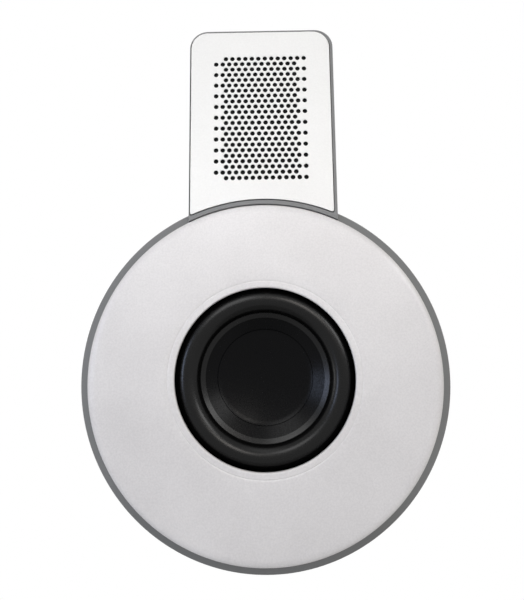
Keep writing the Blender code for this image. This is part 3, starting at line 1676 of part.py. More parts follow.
def make_leads():
    block_low = TWEETER_UP - BOARD_HEIGHT / 2 + OVERCUT
    terminal_rear = LEDGE_REAR + CLEARANCE + TERMINAL_LENGTH
    terminal_up = BASKET_CUP_RADIUS - TERMINAL_HEIGHT / 2 - 4 * CLEARANCE
    start_up = block_low - CLEARANCE
    start_depth = COMPONENT_REAR - BLOCK_SIDE / 2
    wall_up = BODY_RADIUS - CASE_WALL / 2
    bend_up = wall_up + (terminal_up - wall_up) * 0.42
    lead(
        "woofer_lead",
        [
            (BLOCK_LENGTH / 3, start_up, start_depth),
            (BLOCK_LENGTH / 3, start_up - LEAD_STRAIGHT, start_depth),
            (LEAD_HOLE_X * 0.8, start_up - 0.007, start_depth),
            (LEAD_HOLE_X, wall_up, LEAD_HOLE_DEPTH),
            (LEAD_HOLE_X * 0.5, bend_up, LEAD_HOLE_DEPTH - 0.004),
            (TERMINAL_WIDTH / 4, terminal_up + 0.002, terminal_rear + 0.008),
            (TERMINAL_WIDTH / 4, terminal_up, terminal_rear + LEAD_STRAIGHT),
            (TERMINAL_WIDTH / 4, terminal_up, terminal_rear + CLEARANCE),
        ],
        LEAD_RED,
    )
    tweeter_rim = TWEETER_UP - TWEETER_PLATE_RADIUS - CLEARANCE
    plate_middle = TWEETER_PLATE_FRONT + TWEETER_PLATE_THICKNESS / 2
    lead(
        "tweeter_lead",
        [
            (-BLOCK_LENGTH / 3, start_up, start_depth),
            (-BLOCK_LENGTH / 3, start_up - LEAD_STRAIGHT, start_depth),
            (-BLOCK_LENGTH / 3, start_up - 0.004, start_depth - 0.006),
            (-BLOCK_LENGTH / 4, start_up - 0.003, LEAD_HOLE_DEPTH - 0.009),
            (0, tweeter_rim - 0.005, plate_middle + 0.003),
            (0, tweeter_rim - LEAD_STRAIGHT, plate_middle),
            (0, tweeter_rim, plate_middle),
        ],
        LEAD_RED,
    )


# ---------------------------------------------------------------- assembly


def settle_shapes():
    """Applies each part's modifiers and shades it smooth between its sharp edges."""
    bpy.context.view_layer.update()
    depsgraph = bpy.context.evaluated_depsgraph_get()
    shaped = {
        part: bpy.data.meshes.new_from_object(part.evaluated_get(depsgraph))
        for part in PARTS.objects
        if part.type == "MESH"
    }
    for part, mesh in shaped.items():
        part.modifiers.clear()
        part.data = mesh
        mesh.shade_smooth()
        mesh.set_sharp_from_angle(angle=math.radians(32))


def main():
    clear_scene()
    make_housing()
    make_front_disc()
    make_grommets()
    make_tab_cover()
    make_cover_tape()
    make_acoustic_cloth()
    make_back_cover()
    make_back_seal()
    make_back_screws()
    make_gland()
    make_vent_plug()
    make_basket()
    make_woofer_gasket()
    make_woofer_screws()
    make_surround()
    make_cone()
    make_dust_cap()
    make_voice_coil()
    make_spider()
    make_woofer_motor()
    make_woofer_terminal()
    make_tweeter_carrier()
    make_tweeter_screws()
    make_tweeter_dome()
    make_tweeter_coil()
    make_tweeter_motor()
    make_board()
    make_components()
    make_leads()
    settle_shapes()


main()
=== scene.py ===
import math

import bmesh
import bpy
from mathutils import Matrix, Vector
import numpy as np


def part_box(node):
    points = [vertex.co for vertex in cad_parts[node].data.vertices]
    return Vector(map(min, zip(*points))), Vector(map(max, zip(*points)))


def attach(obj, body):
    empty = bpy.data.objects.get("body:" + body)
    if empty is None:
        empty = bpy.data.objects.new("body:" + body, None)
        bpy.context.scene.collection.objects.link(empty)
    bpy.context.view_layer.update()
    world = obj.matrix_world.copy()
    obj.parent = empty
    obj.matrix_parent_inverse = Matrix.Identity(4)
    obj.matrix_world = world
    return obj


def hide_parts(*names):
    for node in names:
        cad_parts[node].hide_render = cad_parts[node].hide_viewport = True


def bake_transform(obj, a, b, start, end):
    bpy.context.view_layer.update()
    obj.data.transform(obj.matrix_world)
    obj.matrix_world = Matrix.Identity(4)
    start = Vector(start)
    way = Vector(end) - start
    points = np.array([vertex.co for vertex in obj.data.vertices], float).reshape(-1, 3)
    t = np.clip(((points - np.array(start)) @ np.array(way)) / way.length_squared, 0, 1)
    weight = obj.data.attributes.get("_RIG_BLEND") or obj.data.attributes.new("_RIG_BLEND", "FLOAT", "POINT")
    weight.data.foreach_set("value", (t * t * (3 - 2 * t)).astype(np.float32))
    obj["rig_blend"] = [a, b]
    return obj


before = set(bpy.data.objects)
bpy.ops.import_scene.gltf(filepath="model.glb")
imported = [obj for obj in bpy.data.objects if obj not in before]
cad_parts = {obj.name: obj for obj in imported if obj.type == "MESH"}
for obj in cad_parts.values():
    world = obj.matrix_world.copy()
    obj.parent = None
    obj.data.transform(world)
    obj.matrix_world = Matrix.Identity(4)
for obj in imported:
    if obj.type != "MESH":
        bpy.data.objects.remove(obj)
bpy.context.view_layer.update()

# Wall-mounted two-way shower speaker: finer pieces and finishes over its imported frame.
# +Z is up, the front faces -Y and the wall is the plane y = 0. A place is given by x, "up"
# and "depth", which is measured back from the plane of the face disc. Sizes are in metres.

SCENE = bpy.context.scene

# ------------------------------------------------------------------ sizes from the frame

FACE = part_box("front_disc")[0].y


def front_of(node):
    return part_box(node)[0].y - FACE


def rear_of(node):
    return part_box(node)[1].y - FACE


GAP = 0.0003  # kept between neighbouring pieces
SEAM = 0.00002  # keeps the layers of one moulding from sharing a face
WALL = -FACE  # depth of the wall plane
DISC_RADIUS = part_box("front_disc")[1].x + 0.0005
BODY_RADIUS = -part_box("housing")[0].z
TAB_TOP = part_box("housing")[1].z
PLATE_LEFT, PLATE_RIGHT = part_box("tab_cover")[0].x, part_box("tab_cover")[1].x
PLATE_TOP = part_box("tab_cover")[1].z
COVER_FRONT = rear_of("back_seal") + GAP
GLAND_UP = (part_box("gland_seal")[0].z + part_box("gland_seal")[1].z) / 2
VENT_X = (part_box("vent_plug")[0].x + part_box("vent_plug")[1].x) / 2
TWEETER_UP = (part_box("tweeter_magnet")[0].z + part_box("tweeter_magnet")[1].z) / 2

TAB_HALF = 0.03865
TAB_CORNER = 0.0098
TAB_RIM = 0.0006  # the tab's rim stands round the plate, a little below its face
TAB_FACE = 0.0026
TAB_FACE_REAR = 0.0054
CASE_WALL = 0.0030
SKIRT_WALL = 0.0015  # the case is thinner round the edge of the back plate
BAFFLE_FRONT, BAFFLE_REAR = 0.0070, 0.0100
SEAT_RADIUS = DISC_RADIUS + 0.00012  # the disc sits closely in the case
CAVITY_RADIUS = BODY_RADIUS - CASE_WALL
DRIVER_HOLE = 0.0533
OPENING = 0.0451
PEG_HOLE, DRIVER_SCREW_HOLE, TWEETER_SCREW_HOLE = 0.0044, 0.0018, 0.0014
TWEETER_WINDOW = (0.04595, 0.06538)  # width and height
BOSS_RADIUS = 0.0035
SCREW_BORE = 0.0016  # in the bosses and through the back plate
SCREW_POCKET = 0.0032
POST_RADIUS, POST_BORE = 0.0028, 0.0014
PLATE_CORNER = 0.0090
PLATE_ARC = 0.0914
PLATE_TIP = 0.0017  # reach of the round at each of the plate's lower tips
PLATE_SIDE = PLATE_LEFT + 0.0003  # leaves the tab's rim in view at its left
HOLE_RADIUS = 0.00124
HOLE_PITCH = 0.0035
HOLE_ROWS, HOLES_PER_ROW = 23, 13
HOLE_FIELD_TOP = PLATE_TOP - 0.0153
ROLL_INNER, ROLL_OUTER, ROLL_HEIGHT = 0.0332, 0.0456, 0.0056
RUBBER = 0.0008  # thickness of the roll's sheet
RUBBER_MIDDLE = 0.0089  # depth of the middle of that sheet, where it lies flat
CONE_SLOPE = 0.4545
CONE_SHEET = 0.0007
CAP_RADIUS, CAP_RIM, CAP_DISH = 0.0246, 0.0014, 0.0026
KEYHOLE_X, KEYHOLE_UP, KEYHOLE_TRAVEL = 0.0520, 0.0260, 0.0090
RECESS_RADIUS, RECESS_FLOOR = 0.0150, WALL - 0.0200
RECESS_WALL = 0.0020
GLAND_HEXAGON = 0.0092
THREAD_CREST, THREAD_ROOT, THREAD_PITCH = 0.0060, 0.0057, 0.0010
THREAD_ROOM = 0.0063
GLAND_BORE, RUBBER_BORE = 0.0045, 0.0048
NUT_THICKNESS = 0.0035  # of the lock nut and of the barrel's flange

ROUND_SIDES = 192  # facets round the case and the driver
SMALL_SIDES = 48
EDGE = 0.0003  # round on the edges of the flat layers
LAP = 0.0005  # by which one layer of a moulding runs into the next


# ------------------------------------------------------------------ shapes


def at(x, up, depth):
    return (x, FACE + depth, up)


def arc(x, up, radius, start, end, steps):
    """Points on an arc between two angles in degrees, both ends included."""
    turns = [math.radians(start + (end - start) * i / steps) for i in range(steps + 1)]
    return [(x + radius * math.cos(t), up + radius * math.sin(t)) for t in turns]


def ring(x, up, radius, sides=SMALL_SIDES):
    return arc(x, up, radius, 0, 360, sides)[:-1]


def eased(points, steps=5):
    """The points of a closed line, with each corner given as (a, b, size) rounded off."""
    line = []
    for i, (a, b, *size) in enumerate(points):
        if not size:
            line.append((a, b))
            continue
        corner = Vector((a, b))
        before = Vector(points[i - 1][:2]) - corner
        after = Vector(points[(i + 1) % len(points)][:2]) - corner
        start = corner + before.normalized() * size[0]
        end = corner + after.normalized() * size[0]
        for step in range(steps + 1):
            t = step / steps
            spot = start * (1 - t) ** 2 + corner * 2 * t * (1 - t) + end * t**2
            line.append((spot.x, spot.y))
    return line


def turned(profile, sides=ROUND_SIDES, x=0.0, up=0.0):
    """Turns (radius, depth) points about the front axis; a radius of 0 closes that end."""
    shape = bmesh.new()
    hoops = []
    for radius, depth in profile:
        spots = ring(x, up, radius, sides if radius > 0 else 1)
        hoops.append([shape.verts.new(at(*spot, depth)) for spot in spots])
    pairs = list(zip(hoops, hoops[1:]))
    if len(hoops[0]) > 1 and len(hoops[-1]) > 1:
        pairs.append((hoops[-1], hoops[0]))
    for a, b in pairs:
        for i in range(sides):
            j = (i + 1) % sides
            corners = (a[i % len(a)], a[j % len(a)], b[j % len(b)], b[i % len(b)])
            corners = list(dict.fromkeys(corners))
            if len(corners) > 2:
                shape.faces.new(corners)
    bmesh.ops.recalc_face_normals(shape, faces=shape.faces)
    return shape


def slab(loops, front, back, edge=0.0):
    """A flat sheet between two depths. The first loop of (x, up) is its outline, the rest
    are its holes, and every edge is rounded by edge."""
    curve = bpy.data.curves.new("outline", "CURVE")
    curve.dimensions = "2D"
    curve.fill_mode = "BOTH"
    curve.extrude = (back - front) / 2 - edge
    curve.bevel_depth = edge
    curve.bevel_resolution = 2
    curve.offset = -edge
    for loop in loops:
        spline = curve.splines.new("POLY")
        spline.points.add(len(loop) - 1)
        for point, (x, up) in zip(spline.points, loop):
            point.co = (x, up, 0, 1)
        spline.use_cyclic_u = True
    outline = bpy.data.objects.new("outline", curve)
    SCENE.collection.objects.link(outline)
    shape = shape_of(outline)
    stand = Matrix.Translation(at(0, 0, (front + back) / 2))
    shape.transform(stand @ Matrix.Rotation(math.radians(90), 4, "X"))
    bmesh.ops.remove_doubles(shape, verts=shape.verts, dist=0.000001)
    bmesh.ops.recalc_face_normals(shape, faces=shape.faces)
    bpy.data.objects.remove(outline)
    return shape


def shape_of(thing):
    """The shape of an object with its modifiers applied."""
    bpy.context.view_layer.update()
    ready = thing.evaluated_get(bpy.context.evaluated_depsgraph_get())
    mesh = bpy.data.meshes.new_from_object(ready)
    shape = bmesh.new()
    shape.from_mesh(mesh)
    bpy.data.meshes.remove(mesh)
    return shape


def loose(name, shape):
    mesh = bpy.data.meshes.new(name)
    shape.to_mesh(mesh)
    shape.free()
    made = bpy.data.objects.new(name, mesh)
    SCENE.collection.objects.link(made)
    return made


def joined(*shapes):
    """One shape that holds all of these, side by side."""
    whole = bmesh.new()
    for shape in shapes:
        mesh = bpy.data.meshes.new("joined")
        shape.to_mesh(mesh)
        shape.free()
        whole.from_mesh(mesh)
        bpy.data.meshes.remove(mesh)
    return whole


def carved(shape, *steps):
    """The shape after some steps, each ("UNION" or "DIFFERENCE", tool shape). They are
    worked out in millimetres, where the solver's margins are small beside the features."""
    larger = Matrix.Scale(1000, 4)
    for operation, tool in steps:
        shape.transform(larger)
        tool.transform(larger)
        blank, cutter = loose("blank", shape), loose("tool", tool)
        boolean = blank.modifiers.new(operation, "BOOLEAN")
        boolean.operation = operation
        boolean.solver = "EXACT"
        boolean.object = cutter
        shape = shape_of(blank)
        shape.transform(larger.inverted())
        bpy.data.objects.remove(blank)
        bpy.data.objects.remove(cutter)
    return shape


def bars(centres, radius, front, back, sides=SMALL_SIDES):
    """Equal round bars along the depth."""
    profile = [(0, front), (radius, front), (radius, back), (0, back)]
    return joined(*(turned(profile, sides, x, up) for x, up in centres))


def sheet_loop(line, thickness):
    """Closed profile of a sheet of even thickness along a line of (radius, depth)."""
    front, back = [], []
    for i, spot in enumerate(line):
        ahead = Vector(line[min(i + 1, len(line) - 1)]) - Vector(line[max(i - 1, 0)])
        side = Vector((ahead.y, -ahead.x)).normalized() * thickness / 2
        front.append((spot[0] + side.x, spot[1] + side.y))
        back.append((spot[0] - side.x, spot[1] - side.y))
    return front + back[::-1]


FLAT_FRONT = 0.99995  # faces that look straight along the depth are shaded flat


def piece(name, shape, finish, stands_for, body="case", sharp=34):
    """Makes a piece of the speaker in place of its CAD nodes, riding on a body."""
    made = loose(name, shape)
    mesh = made.data
    mesh.materials.append(finish)
    mesh.shade_smooth()
    mesh.set_sharp_from_angle(angle=math.radians(sharp))
    for face in mesh.polygons:
        face.use_smooth = abs(face.normal.y) < FLAT_FRONT
    if body:
        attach(made, body)
    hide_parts(*stands_for)
    return made


# ------------------------------------------------------------------ outlines


def tab_corners(half, top, corner, x=0.0):
    right = arc(x + half - corner, top - corner, corner, 0, 90, 12)
    return right + arc(x - half + corner, top - corner, corner, 90, 180, 12)


def case_outline(inset):
    """Outline of the round body and the tab together, moved inwards by inset."""
    radius, half = BODY_RADIUS - inset, TAB_HALF - inset
    joint = math.degrees(math.acos(half / radius))
    body = arc(0, 0, radius, 180 - joint, 360 + joint, 168)
    return body + tab_corners(half, TAB_TOP - inset, TAB_CORNER - inset)


ARC_STEPS = 40  # along the hollow lower edge of the tab and of the plate


def tab_outline(left, right, top, corner, arc_radius):
    """Outline of the tab, whose lower edge is hollow and runs round the woofer's axis."""
    start = math.degrees(math.acos(left / arc_radius))
    end = math.degrees(math.acos(right / arc_radius))
    half, x = (right - left) / 2, (left + right) / 2
    return arc(0, 0, arc_radius, start, end, ARC_STEPS) + tab_corners(half, top, corner, x)


def plate_outline(inset):
    """Outline of the plate, its two lower tips rounded off, moved inwards by inset."""
    left, right = PLATE_SIDE + inset, PLATE_RIGHT - inset
    line = tab_outline(left, right, PLATE_TOP - inset, PLATE_CORNER - inset, PLATE_ARC + inset)
    left_tip, right_tip = (*line[0], PLATE_TIP - inset), (*line[ARC_STEPS], PLATE_TIP - inset)
    # the arc's points nearest the tips go, so that they don't cut into the rounds
    hollow, sides_and_top = line[2 : ARC_STEPS - 1], line[ARC_STEPS + 1 :]
    return eased([left_tip, *hollow, right_tip, *sides_and_top])


def rounded_rectangle(width, height, corner, up):
    points = []
    for i, (side, rise) in enumerate(((1, 1), (-1, 1), (-1, -1), (1, -1))):
        x, middle = side * (width / 2 - corner), up + rise * (height / 2 - corner)
        points += arc(x, middle, corner, 90 * i, 90 * i + 90, 8)
    return points


def round_the_axis(radius, angles):
    return [
        (radius * math.cos(math.radians(a)), radius * math.sin(math.radians(a)))
        for a in angles
    ]


def four_corners(span_x, span_up):
    return [
        (side * span_x / 2, TWEETER_UP + rise * span_up / 2)
        for side in (-1, 1)
        for rise in (-1, 1)
    ]


def plate_holes():
    """Staggered rows at 60 degrees; every second row is shifted to the left."""
    first_x = (PLATE_LEFT + PLATE_RIGHT) / 2 - (HOLES_PER_ROW - 1) * HOLE_PITCH / 2
    centres = []
    for row in range(HOLE_ROWS):
        start = first_x + (0.75 if row % 2 == 0 else -0.75) * HOLE_PITCH
        up = HOLE_FIELD_TOP - row * HOLE_PITCH * math.sin(math.radians(60))
        centres += [(start + i * HOLE_PITCH, up) for i in range(HOLES_PER_ROW)]
    return centres


def boss_centres():
    """Five round the body and two in the tab's top corners."""
    corner = (TAB_CORNER - CASE_WALL - BOSS_RADIUS + GAP) * math.sqrt(0.5)
    x, up = TAB_HALF - TAB_CORNER + corner, TAB_TOP - TAB_CORNER + corner
    body = round_the_axis(CAVITY_RADIUS - BOSS_RADIUS + GAP, (-90, -18, 52, 128, 198))
    return body + [(-x, up), (x, up)]


PEGS = round_the_axis(0.0730, (0, 90, 180, 270))
DRIVER_SCREWS = round_the_axis(0.0565, (45, 135, 225, 315))
TWEETER_SCREWS = four_corners(0.04955, 0.06898)
BOARD_POSTS = four_corners(0.0460, 0.0500)


# ------------------------------------------------------------------ case


def case_shell(finish):
    """Round body and tab in one moulding, open at the back, with its screw bosses.
    It is laid up in closed layers that run a little way into each other."""
    seal = front_of("back_seal") - GAP
    round_wall = turned(
        eased(
            [
                (SEAT_RADIUS, BAFFLE_REAR - SEAM),
                (SEAT_RADIUS, 0.0026, 0.0003),
                (BODY_RADIUS, 0.0074, 0.0012),
                (BODY_RADIUS, seal),
                (CAVITY_RADIUS, seal),
                (CAVITY_RADIUS, BAFFLE_REAR - SEAM),
            ]
        )
    )
    baffle_loops = [ring(0, 0, r, ROUND_SIDES) for r in (SEAT_RADIUS + LAP, DRIVER_HOLE)]
    baffle_loops += [ring(x, up, PEG_HOLE, 24) for x, up in PEGS]
    baffle_loops += [ring(x, up, DRIVER_SCREW_HOLE, 16) for x, up in DRIVER_SCREWS]
    baffle = slab(baffle_loops, BAFFLE_FRONT, BAFFLE_REAR)

    rim_loops = [tab_at(0, SEAT_RADIUS + 0.0002), plate_outline(-0.0004)]
    tab_rim = slab(rim_loops, TAB_RIM, 0.0085, 0.00018)
    tab_wall = slab(
        [tab_at(2 * SEAM, CAVITY_RADIUS + 0.0002), tab_at(CASE_WALL, BODY_RADIUS)], TAB_FACE, seal
    )
    window = rounded_rectangle(*TWEETER_WINDOW, 0.0040, TWEETER_UP)
    screw_holes = [ring(x, up, TWEETER_SCREW_HOLE, 16) for x, up in TWEETER_SCREWS]
    tab_face = slab(
        [tab_at(CASE_WALL - LAP, BODY_RADIUS - LAP), window, *screw_holes],
        TAB_FACE + SEAM,
        TAB_FACE_REAR,
    )
    skirt = slab([case_outline(SEAM), case_outline(SKIRT_WALL)], seal - LAP, WALL, EDGE)
    behind = [BAFFLE_REAR - 0.001] * 5 + [TAB_FACE_REAR - 0.001] * 2
    bosses = [boss(x, up, front, seal) for (x, up), front in zip(boss_centres(), behind)]
    shape = joined(
        carved(round_wall, ("DIFFERENCE", lead_passage())),
        carved(tab_wall, ("DIFFERENCE", lead_passage())),
        baffle,
        tab_rim,
        tab_face,
        skirt,
        *bosses,
    )
    piece("case_shell", shape, finish, ["housing"])


def tab_at(inset, arc_radius):
    """The tab's outline, in from its outside, closed at the bottom by an arc."""
    half = TAB_HALF - inset
    return tab_outline(-half, half, TAB_TOP - inset, TAB_CORNER - inset, arc_radius)


def boss(x, up, front, back):
    """Screw post with a blind hole from the rear."""
    floor = WALL - 0.0150
    outside = [(0, front), (BOSS_RADIUS, front), (BOSS_RADIUS, back)]
    return turned([*outside, (SCREW_BORE, back), (SCREW_BORE, floor), (0, floor)], 24, x, up)


def lead_passage():
    """The woofer lead's hole between the tab and the round body, along the height."""
    passage = bars([(0, 0)], 0.0045, -0.006, 0.006, 24)
    passage.transform(Matrix.Translation((0, -FACE, 0)))
    passage.transform(Matrix.Rotation(math.radians(90), 4, "X"))
    place = at(0.0150, BODY_RADIUS - CASE_WALL, COVER_FRONT - 0.0185)
    passage.transform(Matrix.Translation(place))
    return passage


def face_disc(finish):
    """Thin face with a rolled rim. Round its opening a raised lip, a fine groove and a
    shallow funnel lead the eye in to the driver."""
    lip = [(OPENING, 0.0024), (OPENING, 0.0009), (0.0452, 0.00058), (0.0454, 0.00042)]
    lip += [(0.0457, 0.00034), (0.0462, 0.0003), (0.0468, 0.0003), (0.0480, 0.0003)]
    groove = [(0.0482, 0.00034), (0.0484, 0.00044), (0.0485, 0.00047), (0.0486, 0.00044)]
    groove += [(0.0488, 0.00034), (0.0490, 0.00026)]
    funnel = []
    for i in range(1, 9):
        share = i / 8
        funnel.append((0.0490 + 0.0055 * share, 0.00026 * (1 - share) ** 2))
    rolled, roll_width, roll_depth = [], 0.0042, 0.0020
    for i in range(17):
        turn = math.radians(90 * i / 16)
        radius = DISC_RADIUS - roll_width * (1 - math.sin(turn))
        rolled.append((radius, roll_depth * (1 - math.cos(turn))))
    skirt_end = BAFFLE_FRONT - GAP
    inside = [
        (DISC_RADIUS, skirt_end),
        (DISC_RADIUS - 0.0020, skirt_end),
        (DISC_RADIUS - 0.0020, 0.0026),
        (DISC_RADIUS - 0.0045, 0.0018),
        (0.0482, 0.0018),
        (0.0476, 0.0024),
    ]
    disc = turned(lip + groove + funnel + rolled + inside)
    pegs = bars(PEGS, 0.0020, 0.0009, BAFFLE_REAR + 0.001, 24)
    shape = carved(disc, ("UNION", pegs))
    piece("face_disc", shape, finish, ["front_disc"], sharp=40)


def perforated_plate(finish):
    """Cover plate: a thin perforated sheet on a frame that leaves the sound holes free."""
    holes = plate_holes()
    rings = [ring(x, up, HOLE_RADIUS, 16) for x, up in holes]
    edge, margin = 0.0001, 0.005
    sheet = slab([plate_outline(0), *rings], 0, 0.0006, edge)
    left, right = min(x for x, up in holes), max(x for x, up in holes)
    low, high = min(up for x, up in holes), max(up for x, up in holes)
    width, height, middle = right - left + margin, high - low + margin, (low + high) / 2
    field = rounded_rectangle(width, height, 0.003, middle)
    window = [(x + (left + right) / 2, up) for x, up in field]
    frame_layer = slab([plate_outline(edge), window], 0.0005, rear_of("tab_cover"), edge)
    shape = joined(sheet, frame_layer)
    piece("perforated_plate", shape, finish, ["tab_cover"])


# ------------------------------------------------------------------ back of the case


def keyhole_room(x, radius):
    """Long round-ended outline that covers a keyhole's entry and the slot above it."""
    upper = arc(x, KEYHOLE_UP + KEYHOLE_TRAVEL, radius, 0, 180, 20)
    return upper + arc(x, KEYHOLE_UP, radius, 180, 360, 20)


def keyhole(x):
    half, entry = 0.0023, 0.0046
    joint = math.degrees(math.acos(half / entry))
    slot_end = arc(x, KEYHOLE_UP + KEYHOLE_TRAVEL, half, 0, 180, 16)
    return arc(x, KEYHOLE_UP, entry, 180 - joint, 360 + joint, 32) + slot_end


def board_post(x, up):
    """Hollow post that a screw of the crossover board goes into."""
    front, back = COVER_FRONT - 0.0056, COVER_FRONT + LAP
    profile = [(POST_BORE, front), (POST_RADIUS, front)]
    profile += [(POST_RADIUS, back), (POST_BORE, back)]
    return turned(profile, 24, x, up)


def back_plate(finish):
    """Flat cover with two keyholes in closed cups, a deep round recess for the cable gland,
    sunk screw heads and four posts that carry the crossover board."""
    cup_front = COVER_FRONT - 0.0065
    step = WALL - 0.0020
    sides = (-KEYHOLE_X, KEYHOLE_X)
    openings = [keyhole(x) for x in sides] + [ring(0, GLAND_UP, RECESS_RADIUS, 96)]
    edge = case_outline(SKIRT_WALL + GAP)
    pockets = [ring(x, up, SCREW_POCKET) for x, up in boss_centres()]
    bores = [ring(x, up, SCREW_BORE) for x, up in boss_centres()]
    vent_seat, vent_bore = ring(VENT_X, GLAND_UP, 0.0065), ring(VENT_X, GLAND_UP, 0.0041)
    outer = slab([edge, vent_seat, *openings, *pockets], step, WALL, EDGE)
    inner = slab([edge, vent_bore, *openings, *bores], COVER_FRONT, step + LAP, 0.0001)
    cups = []
    for x in sides:
        wall, room = keyhole_room(x, 0.0068), keyhole_room(x, 0.0052)
        cups.append(slab([wall], cup_front, cup_front + 0.0016))
        cups.append(slab([wall, room], cup_front + 0.0001, COVER_FRONT + LAP))
    inside, outside = RECESS_RADIUS + 0.00005, RECESS_RADIUS + RECESS_WALL
    bowl = [
        (THREAD_ROOM, RECESS_FLOOR - RECESS_WALL),
        (outside, RECESS_FLOOR - RECESS_WALL, 0.0005),
        (outside, step + 0.0004),
        (inside, step + 0.0004),
        (inside, RECESS_FLOOR, 0.0008),
        (THREAD_ROOM, RECESS_FLOOR),
    ]
    recess = turned(eased(bowl), 96, 0, GLAND_UP)
    posts = [board_post(x, up) for x, up in BOARD_POSTS]
    shape = joined(outer, inner, *cups, recess, *posts)
    piece("back_plate", shape, finish, ["back_cover"])


def case_screw(number, x, up, finish):
    """Pan-head screw, its cross recess turned towards the wall."""
    face, seat = WALL - GAP, WALL - GAP - 0.0016
    tip = face - 0.0120
    head = turned(
        [
            (0, tip),
            (0.0012, tip + 0.0012),
            (0.0012, seat),
            (0.0029, seat),
            (0.0029, face - 0.0009),
            (0.0027, face - 0.0005),
            (0.0022, face - 0.0002),
            (0.0013, face),
            (0, face),
        ],
        SMALL_SIDES,
        x,
        up,
    )
    turn = 17.0 * number  # each screw was tightened to another angle
    cross = []
    for quarter in range(4):
        way = turn + 90 * quarter
        for off, reach in ((-12, 0.0017), (12, 0.0017), (45, 0.0005)):
            cross.append(arc(x, up, reach, way + off, way + off, 1)[0])
    shape = carved(head, ("DIFFERENCE", slab([cross], face - 0.0009, face + 0.001)))
    name = f"case_screw_{number}"
    piece(name, shape, finish, [f"back_screw_{number}"])


def six_sides(radius):
    corners = [(*spot, 0.0006) for spot in ring(0, GLAND_UP, radius, 6)]
    return eased(corners, 3)


def on_gland_axis(profile):
    return turned(profile, SMALL_SIDES, 0, GLAND_UP)


def gland_pieces(finish, rubber):
    """Threaded barrel with a hexagon flange, lock nut inside, and a domed cap nut that
    would press the rubber ring on to a cable."""
    flange_front = RECESS_FLOOR + GAP
    nut_front = flange_front + NUT_THICKNESS + GAP
    nut_rear = nut_front + 0.0070
    thread_rear = nut_front + 0.0028
    ridge = front_of("gland_body")
    thread = [(GLAND_BORE, ridge)]
    while ridge < nut_front + 0.0020:
        thread += [(THREAD_ROOT, ridge), (THREAD_CREST, ridge + 0.0003)]
        thread += [(THREAD_CREST, ridge + 0.0005), (THREAD_ROOT, ridge + 0.0008)]
        ridge += THREAD_PITCH
    thread += [(THREAD_ROOT, thread_rear), (GLAND_BORE, thread_rear)]
    flange_loops = [six_sides(GLAND_HEXAGON), ring(0, GLAND_UP, 0.0055)]
    flange = slab(flange_loops, flange_front, flange_front + NUT_THICKNESS, EDGE)
    barrel = carved(on_gland_axis(thread), ("UNION", flange))
    piece("gland_barrel", barrel, finish, ["gland_body"])

    waist = nut_front + 0.0042
    dome = [(0, waist - 0.001), (0.0078, waist - 0.001), (0.0078, waist)]
    for i in range(1, 9):
        turn = math.radians(90 * i / 8)
        rise = (nut_rear - waist) * math.sin(turn)
        dome.append((0.0056 + 0.0022 * math.cos(turn), waist + rise))
    dome.append((0, nut_rear))
    room = [(0, nut_front - 0.001), (THREAD_ROOM, nut_front - 0.001), (THREAD_ROOM, waist)]
    room += [(RUBBER_BORE, nut_rear - 0.0010), (RUBBER_BORE, nut_rear + 0.001)]
    room += [(0, nut_rear + 0.001)]
    cap_nut = carved(
        slab([six_sides(GLAND_HEXAGON)], nut_front, waist, EDGE),
        ("UNION", on_gland_axis(dome)),
        ("DIFFERENCE", on_gland_axis(room)),
    )
    piece("gland_cap_nut", cap_nut, finish, ["gland_nut"])

    lock_rear = RECESS_FLOOR - RECESS_WALL - GAP
    lock_loops = [six_sides(GLAND_HEXAGON), ring(0, GLAND_UP, THREAD_ROOM)]
    lock_nut = slab(lock_loops, lock_rear - NUT_THICKNESS, lock_rear, EDGE)
    piece("gland_lock_nut", lock_nut, finish, ["gland_locknut"])

    front = thread_rear + GAP
    loop = [(RUBBER_BORE, front, 0.0002), (THREAD_ROOT, front, 0.0002)]
    loop += [(THREAD_ROOT, front + 0.0009, 0.0002), (RUBBER_BORE, front + 0.0009, 0.0002)]
    rubber_ring = on_gland_axis(eased(loop))
    piece("gland_rubber_ring", rubber_ring, rubber, ["gland_seal"])


def vent(finish):
    """Pressure vent: a low round cap with small ports round its middle."""
    face = WALL - GAP
    cap = turned(
        eased(
            [
                (0, COVER_FRONT),
                (0.0038, COVER_FRONT),
                (0.0038, face - 0.0010),
                (0.0062, face - 0.0010),
                (0.0062, face, 0.0004),
                (0.0030, face - 0.0001, 0.0002),
                (0, face - 0.0004),
            ]
        ),
        SMALL_SIDES,
        VENT_X,
        GLAND_UP,
    )
    ports = [
        (VENT_X + x, GLAND_UP + up) for x, up in round_the_axis(0.0021, range(0, 360, 60))
    ]
    shape = carved(cap, ("DIFFERENCE", bars(ports, 0.0005, face - 0.0012, WALL, 16)))
    piece("pressure_vent", shape, finish, ["vent_plug"])


# ------------------------------------------------------------------ driver


def rubber_roll(finish):
    """Half-roll of rubber: its outer flange stays on the basket, its lip rides the cone."""
    middle, half = (ROLL_OUTER + ROLL_INNER) / 2, (ROLL_OUTER - ROLL_INNER) / 2
    roll = []
    for i in range(33):
        turn = math.pi * i / 32
        rise = ROLL_HEIGHT * math.sin(turn)
        roll.append((middle - half * math.cos(turn), RUBBER_MIDDLE - rise))
    lip = [(0.0306, RUBBER_MIDDLE + 0.0026 * CONE_SLOPE), (0.0330, RUBBER_MIDDLE + 0.0001)]
    line = lip + roll[1:-1] + [(0.0458, RUBBER_MIDDLE), (0.0508, RUBBER_MIDDLE)]
    made = piece(
        "rubber_roll",
        turned(sheet_loop(line, RUBBER)),
        finish,
        ["woofer_surround"],
        body=None,
        sharp=50,
    )
    flexes(made, 0.0452, 0.0334)


